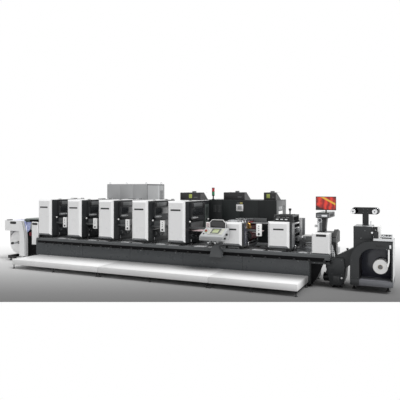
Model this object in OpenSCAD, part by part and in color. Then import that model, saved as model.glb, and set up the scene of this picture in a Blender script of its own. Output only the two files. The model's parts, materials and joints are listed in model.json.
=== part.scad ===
// Narrow-web flexographic label press: unwinder, five printing units, two die
// stations, inspection station and rewinder on one long bench.
// X runs along the line from the bench's left end, Y runs back from the skirt,
// Z is up from the floor. in_frame() moves this to the middle of the footprint.

/* [Bench and base] */
// Height of the bench surface
bench_z = 648; // [600:1:700]
// Thickness of the bench top and of its front rail
bench_th = 118; // [90:1:140]
// Rear edge of the bench and of the printing units
rear_y = 1326; // [1200:1:1450]
// How far the front rail stands out past the skirt
rail_reach = 30; // [20:1:60]
// Depth of the front rail from front to back
rail_depth = 60; // [40:1:90]
// Rounding of the rail's front edges
rail_r = 20; // [8:1:30]
// Width of the cap at the rail's left end
cap_w = 60; // [50:1:90]
// Rounding of the cap's outer corner
cap_r = 45; // [20:1:48]
// How far the bench runs on past its base
tail_len = 370; // [300:1:420]
// Depth of the closed base
base_depth = 1000; // [800:10:1150]
// Thickness of the skirt panels
skirt_th = 20; // [10:1:30]
// Lower edge of the skirt panels
skirt_z = 130; // [90:1:160]
// Number of skirt panels
skirt_count = 5; // [3:1:7]
// Gap between two skirt panels
skirt_gap = 4; // [2:1:8]
// Height of the shadow slot between the skirt and the rail
slot_h = 22; // [12:1:40]
// Thickness of the two end frames
end_th = 25; // [15:1:40]
// Depth of the drive tray at the tail of the bench
tail_depth = 860; // [600:10:1000]
// Height of the tail drive under the bench
tail_h = 75; // [50:1:110]
// Thickness of the tail drive's tray
tail_tray_th = 40; // [20:1:45]

/* [Levelling feet] */
// Height of the feet under the base
foot_h = 60; // [40:1:85]
// Radius of a foot's pad
foot_pad_r = 42; // [25:1:60]
// Thickness of a foot's pad
foot_pad_th = 14; // [8:1:25]
// Radius of a foot's screw
foot_screw_r = 15; // [8:1:22]
// Pairs of feet along the base
foot_pairs = 5; // [3:1:7]
// Distance of the front feet from the skirt
foot_front = 140; // [100:1:200]

/* [Step platform] */
// Length of the left deck
deck_left = 2468; // [2200:1:2490]
// Length of the middle deck
deck_mid = 2584; // [2300:1:2610]
// Set-in of the last deck from the end of the base
deck_end = 22; // [10:1:60]
// How far the decks reach out from the skirt
deck_reach = 886; // [700:1:1000]
// Height of the walking surface
deck_z = 224; // [190:1:250]
// Thickness of a deck
deck_th = 129; // [80:1:140]
// Gap between two decks
deck_seam = 3; // [2:1:6]
// Set-in of a deck's feet from its edges
deck_foot_in = 30; // [30:1:90]
// Radius of the pad under a deck's foot
deck_pad_r = 28; // [20:1:30]

/* [Printing units] */
// Distance from one unit to the next
unit_pitch = 939; // [900:1:945]
// Left face of the first unit, before the bench's end
unit_start = -70; // [-75:1:-30]
// Width of a unit
unit_w = 415; // [400:1:430]
// Top of a unit above the floor
unit_top = 1615; // [1550:5:1750]
// Height of the plinth that carries a unit
plinth_h = 52; // [30:1:80]
// Set-in of the plinth from the unit's sides
plinth_in = 30; // [10:1:60]
// Front of the plinths, back from the skirt
plinth_y = 120; // [90:1:140]
// Front of the white covers
cover_y = 0; // [0:1:12]
// Depth of the white covers
cover_depth = 60; // [56:1:80]
// Underside of a unit's cover above its plinth
cover_lift = 18; // [8:1:40]
// Bevel round the front of a station's cover
cover_bevel = 42; // [30:1:48]
// Thickness of a unit's operator-side plate
side_plate = 190; // [160:1:200]
// Thickness of the lid on a unit
lid_th = 12; // [6:1:20]
// Depth of the recess in a unit's side
recess = 14; // [6:1:24]
// Length of the plain gear housing at the rear
gear_len = 260; // [240:1:320]

/* [Unit fittings] */
// Near edge of the side hood
hood_y = 270; // [262:1:300]
// Distance from the side hood to the gear housing
hood_space = 126; // [90:1:160]
// Distance of the side hood below the unit's top
hood_drop = 45; // [30:1:60]
// Height of the side hood
hood_h = 400; // [385:1:410]
// How far the side hood stands out
hood_out = 60; // [45:1:70]
// Rounding of the side hood's lower corners
hood_r = 90; // [40:1:100]
// Distance of the grab bar's near end from the hood's near edge
bar_in = 10; // [5:1:30]
// Length of the grab bar
bar_len = 260; // [200:1:300]
// Height of the grab bar above the hood's lower edge
bar_lift = 67; // [50:1:90]
// Distance of the grab bar from the hood
bar_out = 28; // [24:1:36]
// Radius of the grab bar
bar_r = 10; // [7:1:12]
// Gap between the hood and the ink tray's cover under it
tray_gap = 15; // [10:1:25]
// Height of the ink tray's cover
tray_h = 190; // [160:1:200]
// How far the ink tray's cover stands out
tray_out = 40; // [25:1:45]
// Radius of the register knob
knob_r = 19; // [12:1:26]
// Length of the register knob
knob_len = 74; // [60:1:85]
// Distance of the register knobs from the edges beside them
knob_in = 80; // [60:1:100]
// Width of the push-button plate
plate_w = 115; // [100:1:125]
// Lower edge of the push-button plate above the unit's plinth
plate_lift = 212; // [180:1:230]
// Height of the push-button plate
plate_h = 253; // [230:1:270]
// Distance of the push-button plate's back from the front frame's rear edge
plate_in = 10; // [0:1:30]
// Thickness of the push-button plate
plate_th = 34; // [24:1:40]
// Distance from a unit's front frame to its push-button plate
plate_reach = 225; // [200:1:240]
// The same distance at the fifth unit
plate_far = 424; // [400:1:440]
// The same distance at the first die station
plate_die = 212; // [190:1:230]
// Radius of the arm that carries the push-button plate
arm_r = 12; // [8:1:15]
// Height of the arm above the plate's lower edge
arm_lift = 73; // [60:1:90]
// Radius of the stop button
stop_r = 17; // [10:1:22]
// Height of the stop button above the plate's lower edge
stop_lift = 42; // [30:1:60]
// How far the stop button stands out
stop_out = 12; // [5:1:18]
// Radius of the C-shaped clamp handle
handle_r = 28; // [22:1:32]
// Radius of the clamp handle's rod
handle_rod = 7; // [5:1:9]
// Height of the clamp handle's middle above the unit's plinth
handle_lift = 36; // [36:1:60]
// Distance of the clamp handle from the front frame's edge
handle_in = 55; // [45:1:90]
// Length of the clamp handle's boss
handle_boss = 14; // [8:1:20]

/* [Rear cabinets] */
// Left side of the electrical cabinet
ecab_x = 1100; // [1000:10:1300]
// Width of the electrical cabinet
ecab_w = 1250; // [1000:10:1400]
// Depth of the electrical cabinet
ecab_depth = 900; // [600:10:1000]
// Height of the electrical cabinet
ecab_h = 2000; // [1800:10:2200]
// Height of the electrical cabinet's plinth
ecab_plinth = 100; // [60:5:200]
// Set-in of the electrical cabinet's plinth
ecab_in = 20; // [10:1:60]
// Ring radius of a lifting eye
eye_r = 22; // [15:1:30]
// Rod radius of a lifting eye
eye_rod = 6; // [4:1:9]
// How far the dark rear cabinet reaches left behind the fifth unit
rcab_lap = 111; // [20:1:300]
// Width of the dark rear cabinet
rcab_w = 1780; // [1500:10:1900]
// Depth of the dark rear cabinet
rcab_depth = 835; // [500:5:900]
// Height of the dark rear cabinet
rcab_h = 1620; // [1500:10:1800]
// Height of the lamp power boxes
lamp_h = 175; // [100:5:200]
// Depth of the lamp power boxes
lamp_depth = 420; // [300:10:480]
// Length of the two long lamp power boxes
lamp_len = 540; // [440:10:560]
// Length of the short lamp power box
lamp_short = 294; // [240:2:400]
// Distance of the long power box from the cabinet's left side
lamp_at = 466; // [300:1:520]
// How far the fifth unit's power box stays inside the unit's right side
lamp_in = 10; // [5:1:30]
// Slope cut off the end of a lamp power box
lamp_slope = 110; // [60:5:140]
// Height of one colour of the stack light
stack_h = 62; // [40:1:90]
// Radius of the stack light
stack_r = 28; // [20:1:40]
// Distance of the stack light from the cabinet's left side
stack_in = 168; // [42:1:300]
// Height of the stack light's stem
stem_h = 165; // [120:1:190]

/* [Operator console] */
// Distance of the console before the first die station
con_space = 323; // [310:1:340]
// Width of the console
con_w = 512; // [480:2:530]
// How far the console stands to the right of its bracket's middle
con_shift = 30; // [0:1:50]
// Front of the console, out from the skirt
con_reach = 425; // [420:1:445]
// Depth of the console
con_depth = 350; // [300:5:350]
// Underside of the console above the bench
con_lift = 197; // [185:1:215]
// Height of the console's front lip
con_lip = 80; // [60:1:100]
// Height of the console's back
con_back = 232; // [210:1:260]
// Height of the hood behind the console's back edge
con_hood_h = 164; // [120:1:180]
// Height of the hood's lower edge below the console's top edge
con_hood_low = 90; // [60:1:120]
// Set-in of the hood from the console's sides
con_hood_in = 80; // [50:1:110]
// Cut off the hood's upper corners
con_hood_cut = 58; // [30:1:90]
// Thickness of the hood
con_hood_th = 44; // [25:1:50]
// Width of the bracket at its foot
brk_w = 270; // [230:5:300]
// Width of the bracket at its head
brk_head = 125; // [115:5:150]
// How far the bracket reaches below the bench
brk_drop = 50; // [20:1:60]
// Thickness of the bracket, out from the rail
brk_th = 100; // [60:1:140]
// Radius of the console's tilt shaft
tilt_r = 28; // [18:1:34]
// Distance of the tilt shaft below the console
tilt_drop = 46; // [44:1:60]
// Thickness of the tilt shaft's two cheeks
cheek_th = 26; // [16:1:34]

/* [Die stations] */
// Distance from the fifth unit to the first die station
die1_space = 885; // [860:1:910]
// Width of the first die station's cover
die1_w = 414; // [400:1:428]
// Height of the first die station above the bench
die1_h = 552; // [540:1:570]
// Distance from the first die station to the second
die_pitch = 974; // [960:1:990]
// Width of the second die station's cover
die2_w = 428; // [414:1:440]
// Height of the second die station above the bench
die2_h = 587; // [572:1:650]
// Underside of the die stations' covers above their plinths
die_cover_lift = 18; // [8:1:40]
// Rear end of the die stations' frames
die_rear = 985; // [900:1:1050]
// Thickness of the stations' front frames
front_th = 240; // [220:1:260]
// Thickness of the plates that hold the rollers at the rear
ear_th = 34; // [20:1:50]
// How far the frames stand out past the closed part
ear_out = 134; // [132:1:145]
// How far those plates end below the frame's top
ear_drop = 20; // [14:1:40]
// Set-in of the closed part of a frame from its cover's right side
frame_in = 90; // [80:1:100]
// Radius of the die cylinders
die_r = 96; // [80:1:96]
// Distance of the upper die cylinder's axis below its station's top
die_axis_drop = 108; // [105:1:116]
// Gap at the nip of the die cylinders
die_nip = 2; // [1:1:6]
// Radius of the bearer wheel on the upper cylinder
bearer_r = 75; // [60:1:80]
// Thickness of the bearer wheel
bearer_th = 26; // [15:1:40]
// Radius of the rollers' journals
journal_r = 26; // [18:1:28]
// Radius of the chrome tie bars
tie_r = 16; // [10:1:22]
// Distance between the tie bars of the second die station
tie_step = 95; // [60:1:130]
// Distance of the front cover plate's rear edge from the first die station's rear
top_split = 300; // [280:1:400]
// Thickness of the plates on top of the first die station
top_plate_th = 14; // [8:1:20]
// Height of the second die station's bridge
bridge_h = 125; // [90:1:160]
// Thickness of the bridge's rails
bridge_th = 32; // [20:1:45]
// Distance from the front of the bridge to its rear
bridge_depth = 500; // [400:10:560]
// Distance of the bridge from its cover's left side
bridge_in = 100; // [80:1:120]
// How far the bridge overhangs the frame at its right
bridge_over = 18; // [5:1:30]
// Radius of the pressure screw
screw_r = 9; // [6:1:12]
// Radius of the star knob on the pressure screw
star_r = 30; // [20:1:38]
// Height of the pressure screw and its knob
star_h = 128; // [90:1:150]
// Distance of the pressure screw from the station's front frame plane
screw_back = 270; // [240:1:300]
// Distance of the pressure screw past the closed part of the frame
screw_over = 33; // [20:1:50]
// Height of the perforated web guard
guard_h = 262; // [220:1:300]
// Height of the web guard's tall end
guard_tall = 632; // [560:1:660]
// Width of the web guard's tall end
guard_end = 118; // [90:1:150]
// Thickness of the perforated web guard
guard_th = 12; // [8:1:20]
// Distance of the web guard from the skirt
guard_y = 700; // [650:1:760]

/* [Inspection station] */
// Distance from the second die station to the inspection station
insp_space = 870; // [850:1:890]
// Height of the inspection station above the bench
insp_h = 392; // [370:1:410]
// Width of the inspection station
insp_w = 330; // [300:1:360]
// Depth of the white side behind the inspection station's cover
insp_side = 180; // [100:1:190]
// Depth of the inspection station
insp_depth = 700; // [550:5:800]
// Distance of the camera column from the skirt
col_y = 300; // [260:1:340]
// Width of the camera column
col_w = 144; // [120:1:160]
// Depth of the camera column
col_depth = 230; // [180:1:250]
// Height of the camera column
col_h = 292; // [260:1:310]
// How far the camera column stands left of the station's middle
col_shift = 40; // [20:1:60]
// Height of the camera head
head_h = 94; // [80:1:120]
// Width of the camera head
head_w = 250; // [230:1:280]
// Depth of the camera head
head_depth = 670; // [600:1:700]
// Distance of the camera head from the skirt
head_y = 200; // [160:1:240]
// Width of the monitor
mon_w = 390; // [340:1:420]
// Height of the monitor
mon_h = 268; // [220:1:300]
// How far the monitor stands right of the station's middle
mon_shift = 30; // [0:1:60]
// Thickness of the monitor
mon_th = 42; // [25:1:60]
// Gap under the monitor, bridged by its neck
mon_neck = 50; // [30:1:70]
// Radius of the monitor's neck
neck_r = 16; // [10:1:20]

/* [Waste take-off and link] */
// Width of the waste hopper
hop_w = 80; // [79:1:110]
// Depth of the waste hopper
hop_depth = 510; // [460:1:560]
// Underside of the waste hopper above the bench
hop_lift = 180; // [150:1:200]
// Height of the waste hopper
hop_h = 250; // [220:1:270]
// How far the hopper's top slopes down to its front
hop_slope = 118; // [60:1:140]
// How far the hopper's top slopes down to its rear
hop_cut = 45; // [15:1:60]
// Distance of the waste hopper from the skirt
hop_y = 265; // [230:1:290]
// Width of the waste hopper's column
hop_col = 70; // [50:1:78]
// Depth of the waste hopper's column
hop_col_depth = 240; // [200:1:280]
// Width of the waste chute at its foot
chute_w = 78; // [50:1:78]
// Thickness of the waste chute
chute_th = 30; // [15:1:40]
// Width of the link block
link_w = 235; // [200:1:260]
// Depth of the link block
link_depth = 520; // [400:1:600]
// Distance of the link block below the bench surface
link_drop = 76; // [58:1:88]
// Distance of the link block from the skirt
link_y = 140; // [120:1:180]
// Radius of the link motor
motor_r = 62; // [40:1:70]
// Length of the link motor
motor_len = 190; // [120:1:220]
// Height of the link motor's axis
motor_z = 150; // [145:1:190]
// Thickness of the link strut
strut_th = 26; // [16:1:34]
// Rise of the link strut
strut_rise = 215; // [120:1:230]
// Depth of the link strut
strut_depth = 240; // [150:1:300]
// Depth of the duct under the link strut
duct_drop = 184; // [150:1:200]

/* [Rewinder] */
// Distance from the bench to the rewinder
rew_space = 370; // [340:1:400]
// Width of the rewinder
rew_w = 735; // [720:1:800]
// Depth of the rewinder
rew_depth = 780; // [700:5:900]
// Top of the rewinder
rew_top = 930; // [925:1:960]
// Underside of the rewinder's base
rew_z = 122; // [100:1:140]
// Height of the rewinder's base
rew_base_h = 100; // [85:1:110]
// Radius of the arch's outer shoulder
arch_r = 380; // [360:1:390]
// Width of the arch's left post
arch_post = 160; // [140:1:175]
// Height of the arch's crown beam
arch_beam = 130; // [110:1:140]
// Thickness of the arch's right wall
arch_wall = 26; // [18:1:32]
// Depth of the arch in front of the housing
arch_depth = 400; // [395:1:450]
// Radius of the finished roll
roll_r = 127; // [110:1:130]
// Width of the paper web and of its rolls
web_w = 330; // [300:1:340]
// Radius of the cardboard core's bore
core_r = 38.5; // [30:0.5:45]
// Distance of the rewind axis from the rewinder's left side
roll_x = 522; // [516:1:528]
// Height of the rewind axis
roll_z = 476; // [460:1:500]
// Thickness of the paper web
web_th = 1; // [1:1:2]
// Width of the tower
tower_w = 320; // [280:1:330]
// Depth of the tower
tower_depth = 520; // [440:1:560]
// Top of the tower
tower_top = 1190; // [1150:1:1230]
// Distance of the tower's front from the rewinder's front
tower_y = 100; // [60:1:120]
// Distance of the tower from the rewinder's left side
tower_in = 50; // [20:1:80]
// Width of the dancer's column
dance_col = 108; // [90:1:130]
// Height of the dancer's column
dance_h = 214; // [180:1:260]
// How far the dancer stands right of the tower's middle
dance_shift = 27; // [0:1:60]
// Length of the dancer's head
dance_len = 504; // [440:1:540]
// Height of the dancer's head, twice its end radius
dance_head_h = 130; // [110:1:150]
// Thickness of the dancer's head
dance_th = 60; // [40:1:80]
// Radius of the dancer's chrome rollers
dance_r = 44; // [30:1:50]
// Length of the slitting table
table_w = 330; // [300:1:335]
// Depth of the slitting table
table_depth = 380; // [340:1:400]
// Height of the slitting table
table_h = 52; // [36:1:70]
// Height of the nip stand on the slitting table
nip_h = 270; // [200:1:300]
// Thickness of the nip stand's white plate
nip_th = 45; // [30:1:50]

/* [Unwinder] */
// Distance from the unwinder to the first unit
feed_space = 410; // [400:1:430]
// Width of the column
unw_col = 220; // [180:1:250]
// How far the arm reaches left past the full roll
arm_over = 60; // [30:1:90]
// Thickness of the unwinder's front frame
unw_th = 100; // [70:1:110]
// Top of the unwinder
unw_top = 1050; // [1040:1:1080]
// Height of the unwinder's arm
unw_arm = 268; // [235:1:268]
// Radius of the column's shoulder
unw_shoulder = 200; // [150:1:215]
// Distance of the full roll from the column's right face
roll_in = 70; // [65:1:80]
// Height of the full roll above the base rails
roll_lift = 30; // [20:1:60]
// Radius of the full roll
full_r = 300; // [240:1:302]
// Gap between the front frame and the full roll
roll_gap = 20; // [10:1:30]
// Gap between the full roll and the rear housing
rear_gap = 50; // [30:1:60]
// Depth of the rear housing
unw_house = 350; // [250:1:400]
// Height of the base rails
rail_h = 80; // [60:1:90]
// Width of the base rails
rail_w = 80; // [60:1:100]
// Distance of the left base rail from the arm's left end
rail_in = 114; // [90:1:140]
// Width of the infeed's white panel
feed_w = 210; // [190:1:240]
// Lower edge of the infeed's white panel
feed_z = 450; // [400:1:500]
// Top of the infeed
feed_top = 1037; // [1000:1:1045]
// Height of the cover over the infeed's rollers
lid_h = 50; // [30:1:70]
// Radius of the idlers at the top of the unwinder
idler_r = 30; // [20:1:36]
// Radius of the infeed nip roller
feed_r = 58; // [40:1:62]
// Height of the infeed nip roller's axis above the unwind axis
feed_rise = 235; // [220:1:260]
// How far the web slants on its way down to the infeed
web_slant = 100; // [60:1:130]

/* [Hidden] */
// Clearance between a moving face and its neighbour, and round loose seats
gap = 0.3;
// Running clearance of a shaft in its bore
fit = 0.05;
$fn = 48;

function unit_x(i) = unit_start + i * unit_pitch;
units_end = unit_x(4) + unit_w;
die1_x = units_end + die1_space;
die2_x = die1_x + die_pitch;
insp_x = die2_x + insp_space;
bench_len = insp_x + insp_w;
base_len = bench_len - tail_len;
bench_under = bench_z - bench_th;
skirt_top = bench_under - slot_h;
rail_front = -rail_reach;
rail_back = rail_depth - rail_reach;
plinth_top = bench_z + plinth_h;
cover_back = cover_y + cover_depth;
deck_starts = [0, deck_left + deck_seam, deck_left + deck_mid + 2 * deck_seam];
deck_right = base_len - deck_end - deck_left - deck_mid - 2 * deck_seam;
deck_lens = [deck_left, deck_mid, deck_right];
deck_back = -0.5;
cover_z = plinth_top + cover_lift;
gear_y = rear_y - gear_len;
hood_len = gear_y - hood_space - hood_y;
lid_z = unit_top - lid_th;
hood_z = unit_top - hood_drop - hood_h;
bar_y0 = hood_y + bar_in;
bar_z = hood_z + bar_lift;
tray_z = hood_z - tray_gap - tray_h;
knob_z = hood_z - tray_gap / 2;
plate_y = cover_back + side_plate - plate_th - plate_in;
plate_z = plinth_top + plate_lift;
handle_z = plinth_top + handle_lift;
side_face = unit_w - recess;
rcab_x = units_end - rcab_lap;
cab_y = rear_y + gap;
die_frame_front = cover_back;
front_back = die_frame_front + front_th;
ear_back = die_rear - ear_th;
die1_top = bench_z + die1_h;
die2_top = bench_z + die2_h;
die_cover_z = plinth_top + die_cover_lift;
die_axis_z = die1_top - die_axis_drop;
die1_in = die1_x + die1_w - frame_in;
die2_in = die2_x + die2_w - frame_in;
die_axis_x = die1_in + die_r + 6;
die_low_z = die_axis_z - 2 * die_r - die_nip;
screw_x = die2_in + screw_over;
screw_y = die_frame_front + screw_back;
con_x = die1_x - con_space;
con_z = bench_z + con_lift;
brk_z = bench_under - brk_drop;
con_y0 = -con_reach;
con_y1 = con_y0 + con_depth;
tilt_y = con_y0 + con_depth * 0.62;
tilt_z = con_z - tilt_drop;
brk_mid = con_x + con_w / 2 - con_shift;
insp_top = bench_z + insp_h;
head_z = insp_top - 12 + col_h;
mon_y = col_y + col_depth / 2;
col_x = insp_x + insp_w / 2 - col_shift;
hop_z = bench_z + hop_lift;
link_top = bench_z - link_drop;
link_x = bench_len + gap;
rew_x = bench_len + rew_space;
rew_right = rew_x + rew_w;
axis_rew_x = rew_x + roll_x;
base_top = rew_z + rew_base_h;
arch_back = arch_depth;
roll_y0 = arch_back - web_w - 40;
dance_z = tower_top + dance_h;
tower_x = rew_x + tower_in;
dance_mid = tower_x + tower_w / 2 + dance_shift;
dance_y = roll_y0 + web_w + gap;
unw_x = unit_start - feed_space;
unw_axis_x = unw_x - roll_in - full_r;
unw_left = unw_axis_x - full_r - arm_over;
full_y0 = unw_th + roll_gap;
house_y0 = full_y0 + web_w + rear_gap;
house_y1 = house_y0 + unw_house;
rail_top = foot_h + rail_h;
axis_z = rail_top + roll_lift + full_r;
feed_axis_z = axis_z + feed_rise;
feed_x1 = unit_start - gap;
feed_x0 = unw_x + gap;
feed_axis_x = feed_x0 - feed_r - 6;
web_x = feed_axis_x - feed_r - gap - web_th;
idler_x = web_x - web_slant - gap - idler_r;
idler_z = unw_top - idler_r - 5;

// Middle of the footprint, from its four outermost faces
mid_x = (unw_left + rew_right) / 2;
mid_y = (cab_y + ecab_depth - deck_reach) / 2;

// ---- helpers ----

// Everything is drawn in line coordinates and moved to the part's frame here
module in_frame() {
    translate([-mid_x, -mid_y, 0]) children();
}

// Box between two corners
module block(lo, hi) {
    translate(lo) cube(hi - lo);
}

// Round bars along each axis
module bar_x(x0, x1, y, z, r) {
    translate([x0, y, z]) rotate([0, 90, 0]) cylinder(h = x1 - x0, r = r);
}
module bar_y(x, y0, y1, z, r) {
    translate([x, y0, z]) rotate([-90, 0, 0]) cylinder(h = y1 - y0, r = r);
}
module bar_z(x, y, z0, z1, r) {
    translate([x, y, z0]) cylinder(h = z1 - z0, r = r);
}

// Outline in the XZ plane, carried back from y0 to y1
module plate_xz(y0, y1) {
    translate([0, y1, 0]) rotate([90, 0, 0]) linear_extrude(y1 - y0) children();
}

// Outline in the YZ plane, carried right from x0 to x1
module plate_yz(x0, x1) {
    translate([x0, 0, 0]) rotate([90, 0, 90]) linear_extrude(x1 - x0) children();
}

// Rectangle between two corners
module rect(lo, hi) {
    translate(lo) square(hi - lo);
}

// Rectangle with its two lower corners rounded
module tray_outline(lo, hi, r) {
    rect([lo[0], lo[1] + r], hi);
    rect([lo[0] + r, lo[1]], [hi[0] - r, lo[1] + r]);
    translate([lo[0] + r, lo[1] + r]) circle(r);
    translate([hi[0] - r, lo[1] + r]) circle(r);
}

// Screw foot with a round pad, standing on the floor
module screw_foot(x, y, h, pad = foot_pad_r) {
    bar_z(x, y, 0, foot_pad_th, pad);
    bar_z(x, y, foot_pad_th, h, foot_screw_r);
}

// Sheet cover, bevelled round its front
module cover(x0, x1, z0, z1, c = cover_bevel) {
    y0 = cover_y;
    y1 = cover_back;
    intersection() {
        translate([0, 0, z0]) linear_extrude(z1 - z0)
            polygon([[x0 + c, y0], [x1 - c, y0], [x1, y0 + c], [x1, y1], [x0, y1], [x0, y0 + c]]);
        plate_yz(x0, x1)
            polygon([[y0 + c, z0], [y1, z0], [y1, z1], [y0 + c, z1], [y0, z1 - c], [y0, z0 + c]]);
    }
}

// ---- bench and base ----

module step_decks() {
    color("#eef0f1") for (i = [0:2])
        block([deck_starts[i], -deck_reach, deck_z - deck_th],
              [deck_starts[i] + deck_lens[i], deck_back, deck_z]);
}

// Feet of the base, the decks, the link block, the rewinder and the unwinder
module levelling_feet() {
    color("#1b1c1e") {
        foot_rear = base_depth - foot_pad_r - 4;
        for (i = [0:foot_pairs - 1]) {
            x = foot_screw_r + i * (base_len - 2 * foot_screw_r) / (foot_pairs - 1);
            screw_foot(x, foot_front, foot_h);
            screw_foot(x, foot_rear, foot_h);
        }
        for (i = [0:2], side = [0, 0.5, 1], row = [0, 1]) {
            x = deck_starts[i] + deck_foot_in + side * (deck_lens[i] - 2 * deck_foot_in);
            y = row == 0 ? -deck_reach + deck_foot_in : -deck_foot_in;
            screw_foot(x, y, deck_z - deck_th, deck_pad_r);
        }
        for (x = [link_x + foot_pad_r, link_x + link_w - foot_pad_r - 30],
             y = [link_y + 150, link_y + link_depth - foot_pad_r])
            screw_foot(x, y, foot_h);
        for (x = [rew_x + foot_pad_r, rew_right - foot_pad_r - 50], y = [280, rew_depth - 80])
            screw_foot(x, y, rew_z);
        for (x = [unw_left + rail_in + rail_w / 2, unw_x - rail_w / 2], y = [60, house_y1 - 60])
            screw_foot(x, y, foot_h);
        for (x = [feed_x0 + foot_pad_r, feed_x1 - foot_pad_r - 60],
             y = [cover_back + 60, die_rear - 60])
            screw_foot(x, y, foot_h);
    }
}

module base_frame() {
    color("#26282a")
        block([0, skirt_th, foot_h], [base_len, base_depth, bench_under]);
}

module base_skirt() {
    step = base_len / skirt_count;
    color("#4a4f52") for (i = [0:skirt_count - 1])
        block([i * step + (i == 0 ? 0 : skirt_gap / 2), 0, skirt_z],
              [(i + 1) * step - (i == skirt_count - 1 ? 0 : skirt_gap / 2), skirt_th, skirt_top]);
}

// One tapered end frame from the floor feet up to the bench
module end_frame(x0) {
    plate_yz(x0, x0 + end_th) polygon([
        [skirt_th, foot_h], [base_depth, foot_h],
        [rear_y - 60, bench_under - 60], [rear_y - 60, bench_under], [skirt_th, bench_under]
    ]);
}

module end_frames() {
    color("#17181a") {
        end_frame(-end_th);
        end_frame(base_len);
    }
}

module bench_top() {
    color("#5d6265")
        block([-end_th, rail_back, bench_under], [bench_len, rear_y, bench_z]);
}

// Rail with rounded front edges and a cap that turns down over the skirt's end
module bench_rail() {
    y0 = rail_front;
    color("#55595c") {
        plate_yz(cap_w, bench_len) {
            rect([y0 + rail_r, bench_under], [rail_back, bench_z]);
            rect([y0, bench_under + rail_r], [y0 + rail_r, bench_z - rail_r]);
            translate([y0 + rail_r, bench_under + rail_r]) circle(rail_r);
            translate([y0 + rail_r, bench_z - rail_r]) circle(rail_r);
        }
        plate_xz(y0, rail_back) {
            rect([0, bench_under], [cap_w, bench_z - cap_r]);
            rect([cap_r, bench_z - cap_r], [cap_w, bench_z]);
            translate([cap_r, bench_z - cap_r]) circle(cap_r);
        }
        block([0, y0, deck_z + gap], [cap_w, 0, bench_under]);
    }
}

// Drive tray under the overhanging tail of the bench
module tail_drive() {
    x0 = base_len + end_th;
    z0 = bench_under - tail_h;
    color("#303234") {
        block([x0, rail_back, z0], [bench_len, tail_depth, z0 + tail_tray_th]);
        block([x0, rail_back + 40, z0 + tail_tray_th], [bench_len - 90, tail_depth - 120, bench_under]);
    }
}

// ---- printing units ----

module unit_frame(i) {
    x0 = unit_x(i);
    x1 = x0 + unit_w;
    y1 = cover_back + side_plate;
    color("#2b2c2e") translate([0, 0, plinth_top]) linear_extrude(lid_z - plinth_top)
        polygon([
            [x0, cover_back], [x1, cover_back], [x1, y1], [x1 - recess, y1],
            [x1 - recess, gear_y], [x1, gear_y], [x1, rear_y], [x0, rear_y],
            [x0, gear_y], [x0 + recess, gear_y], [x0 + recess, y1], [x0, y1]
        ]);
}

// Plinths of the units and of the two die stations
module unit_plinths() {
    color("#141516") {
        for (i = [0:4])
            block([max(unit_x(i) + plinth_in, -end_th), plinth_y, bench_z],
                  [unit_x(i) + unit_w - plinth_in, rear_y - 40, plinth_top]);
        for (s = [[die1_x, die1_in], [die2_x, die2_in]])
            block([s[0] + plinth_in, plinth_y, bench_z],
                  [s[1] + ear_out - plinth_in, die_rear, plinth_top]);
    }
}

// Front covers with the lids that run back over the units
module unit_covers() {
    color("#e2e4e5") for (i = [0:4]) {
        cover(unit_x(i), unit_x(i) + unit_w, cover_z, unit_top);
        block([unit_x(i), cover_back, lid_z], [unit_x(i) + unit_w, rear_y, unit_top]);
    }
}

// Round-cornered hoods over the inking side, and the ink trays' covers under them
module unit_hoods() {
    color("#3a3c3e") for (i = [0:4]) {
        x = unit_x(i) + side_face;
        plate_yz(x, x + hood_out)
            tray_outline([hood_y, hood_z], [hood_y + hood_len, hood_z + hood_h], hood_r);
        plate_yz(x, x + tray_out)
            tray_outline([hood_y, tray_z], [hood_y + hood_len, tray_z + tray_h], hood_r);
    }
}

// Grab bar on two stand-offs, two register knobs and a C-shaped clamp handle a unit,
// and a clamp handle at each die station
module unit_handles() {
    color("#c9cccd") {
        for (i = [0:4]) {
            x = unit_x(i) + side_face + hood_out;
            bar_y(x + bar_out, bar_y0, bar_y0 + bar_len, bar_z, bar_r);
            for (y = [bar_y0 + 2 * bar_r, bar_y0 + bar_len - 2 * bar_r])
                bar_x(x, x + bar_out, y, bar_z, bar_r * 0.7);
            for (y = [cover_back + side_plate - knob_in, gear_y + knob_in])
                bar_x(unit_x(i) + unit_w, unit_x(i) + unit_w + knob_len, y, knob_z, knob_r);
            clamp_handle(unit_x(i) + side_face, cover_back + side_plate + handle_in);
        }
        for (x = [die1_in + ear_out, die2_in + ear_out])
            clamp_handle(x, front_back - handle_in);
    }
}

// C-shaped handle, open to the right, on a short boss
module clamp_handle(x, y) {
    bar_x(x, x + handle_boss, y, handle_z, handle_rod * 1.6);
    translate([x + handle_boss + handle_r, y, handle_z]) rotate([90, 0, 0])
        rotate([0, 0, 90]) rotate_extrude(angle = 180) translate([handle_r, 0]) circle(handle_rod);
}

// White plates with a stop button, each on an arm: one a unit, one at the first die station
module button_plates() {
    color("#f3f4f4") {
        for (i = [0:4])
            button_plate(unit_x(i) + unit_w, i == 4 ? plate_far : plate_reach);
        button_plate(die1_in + ear_out, plate_die);
    }
}

// Plate at the end of an arm of the given length that starts at x
module button_plate(x, reach) {
    x0 = x + reach;
    bar_x(x, x0, plate_y + plate_th / 2, plate_z + arm_lift, arm_r);
    block([x0, plate_y, plate_z], [x0 + plate_w, plate_y + plate_th, plate_z + plate_h]);
    bar_y(x0 + plate_w / 2, plate_y - stop_out, plate_y, plate_z + stop_lift, stop_r);
}

// ---- cabinets behind the line ----

// Power box of the given length with one end cut to a slope, its low corner at p
module lamp_box(p, length) {
    x0 = p[0];
    x1 = x0 + length;
    z0 = p[2];
    plate_xz(p[1], p[1] + lamp_depth)
        polygon([[x0, z0], [x1, z0], [x1 - lamp_slope, z0 + lamp_h], [x0, z0 + lamp_h]]);
}

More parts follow.
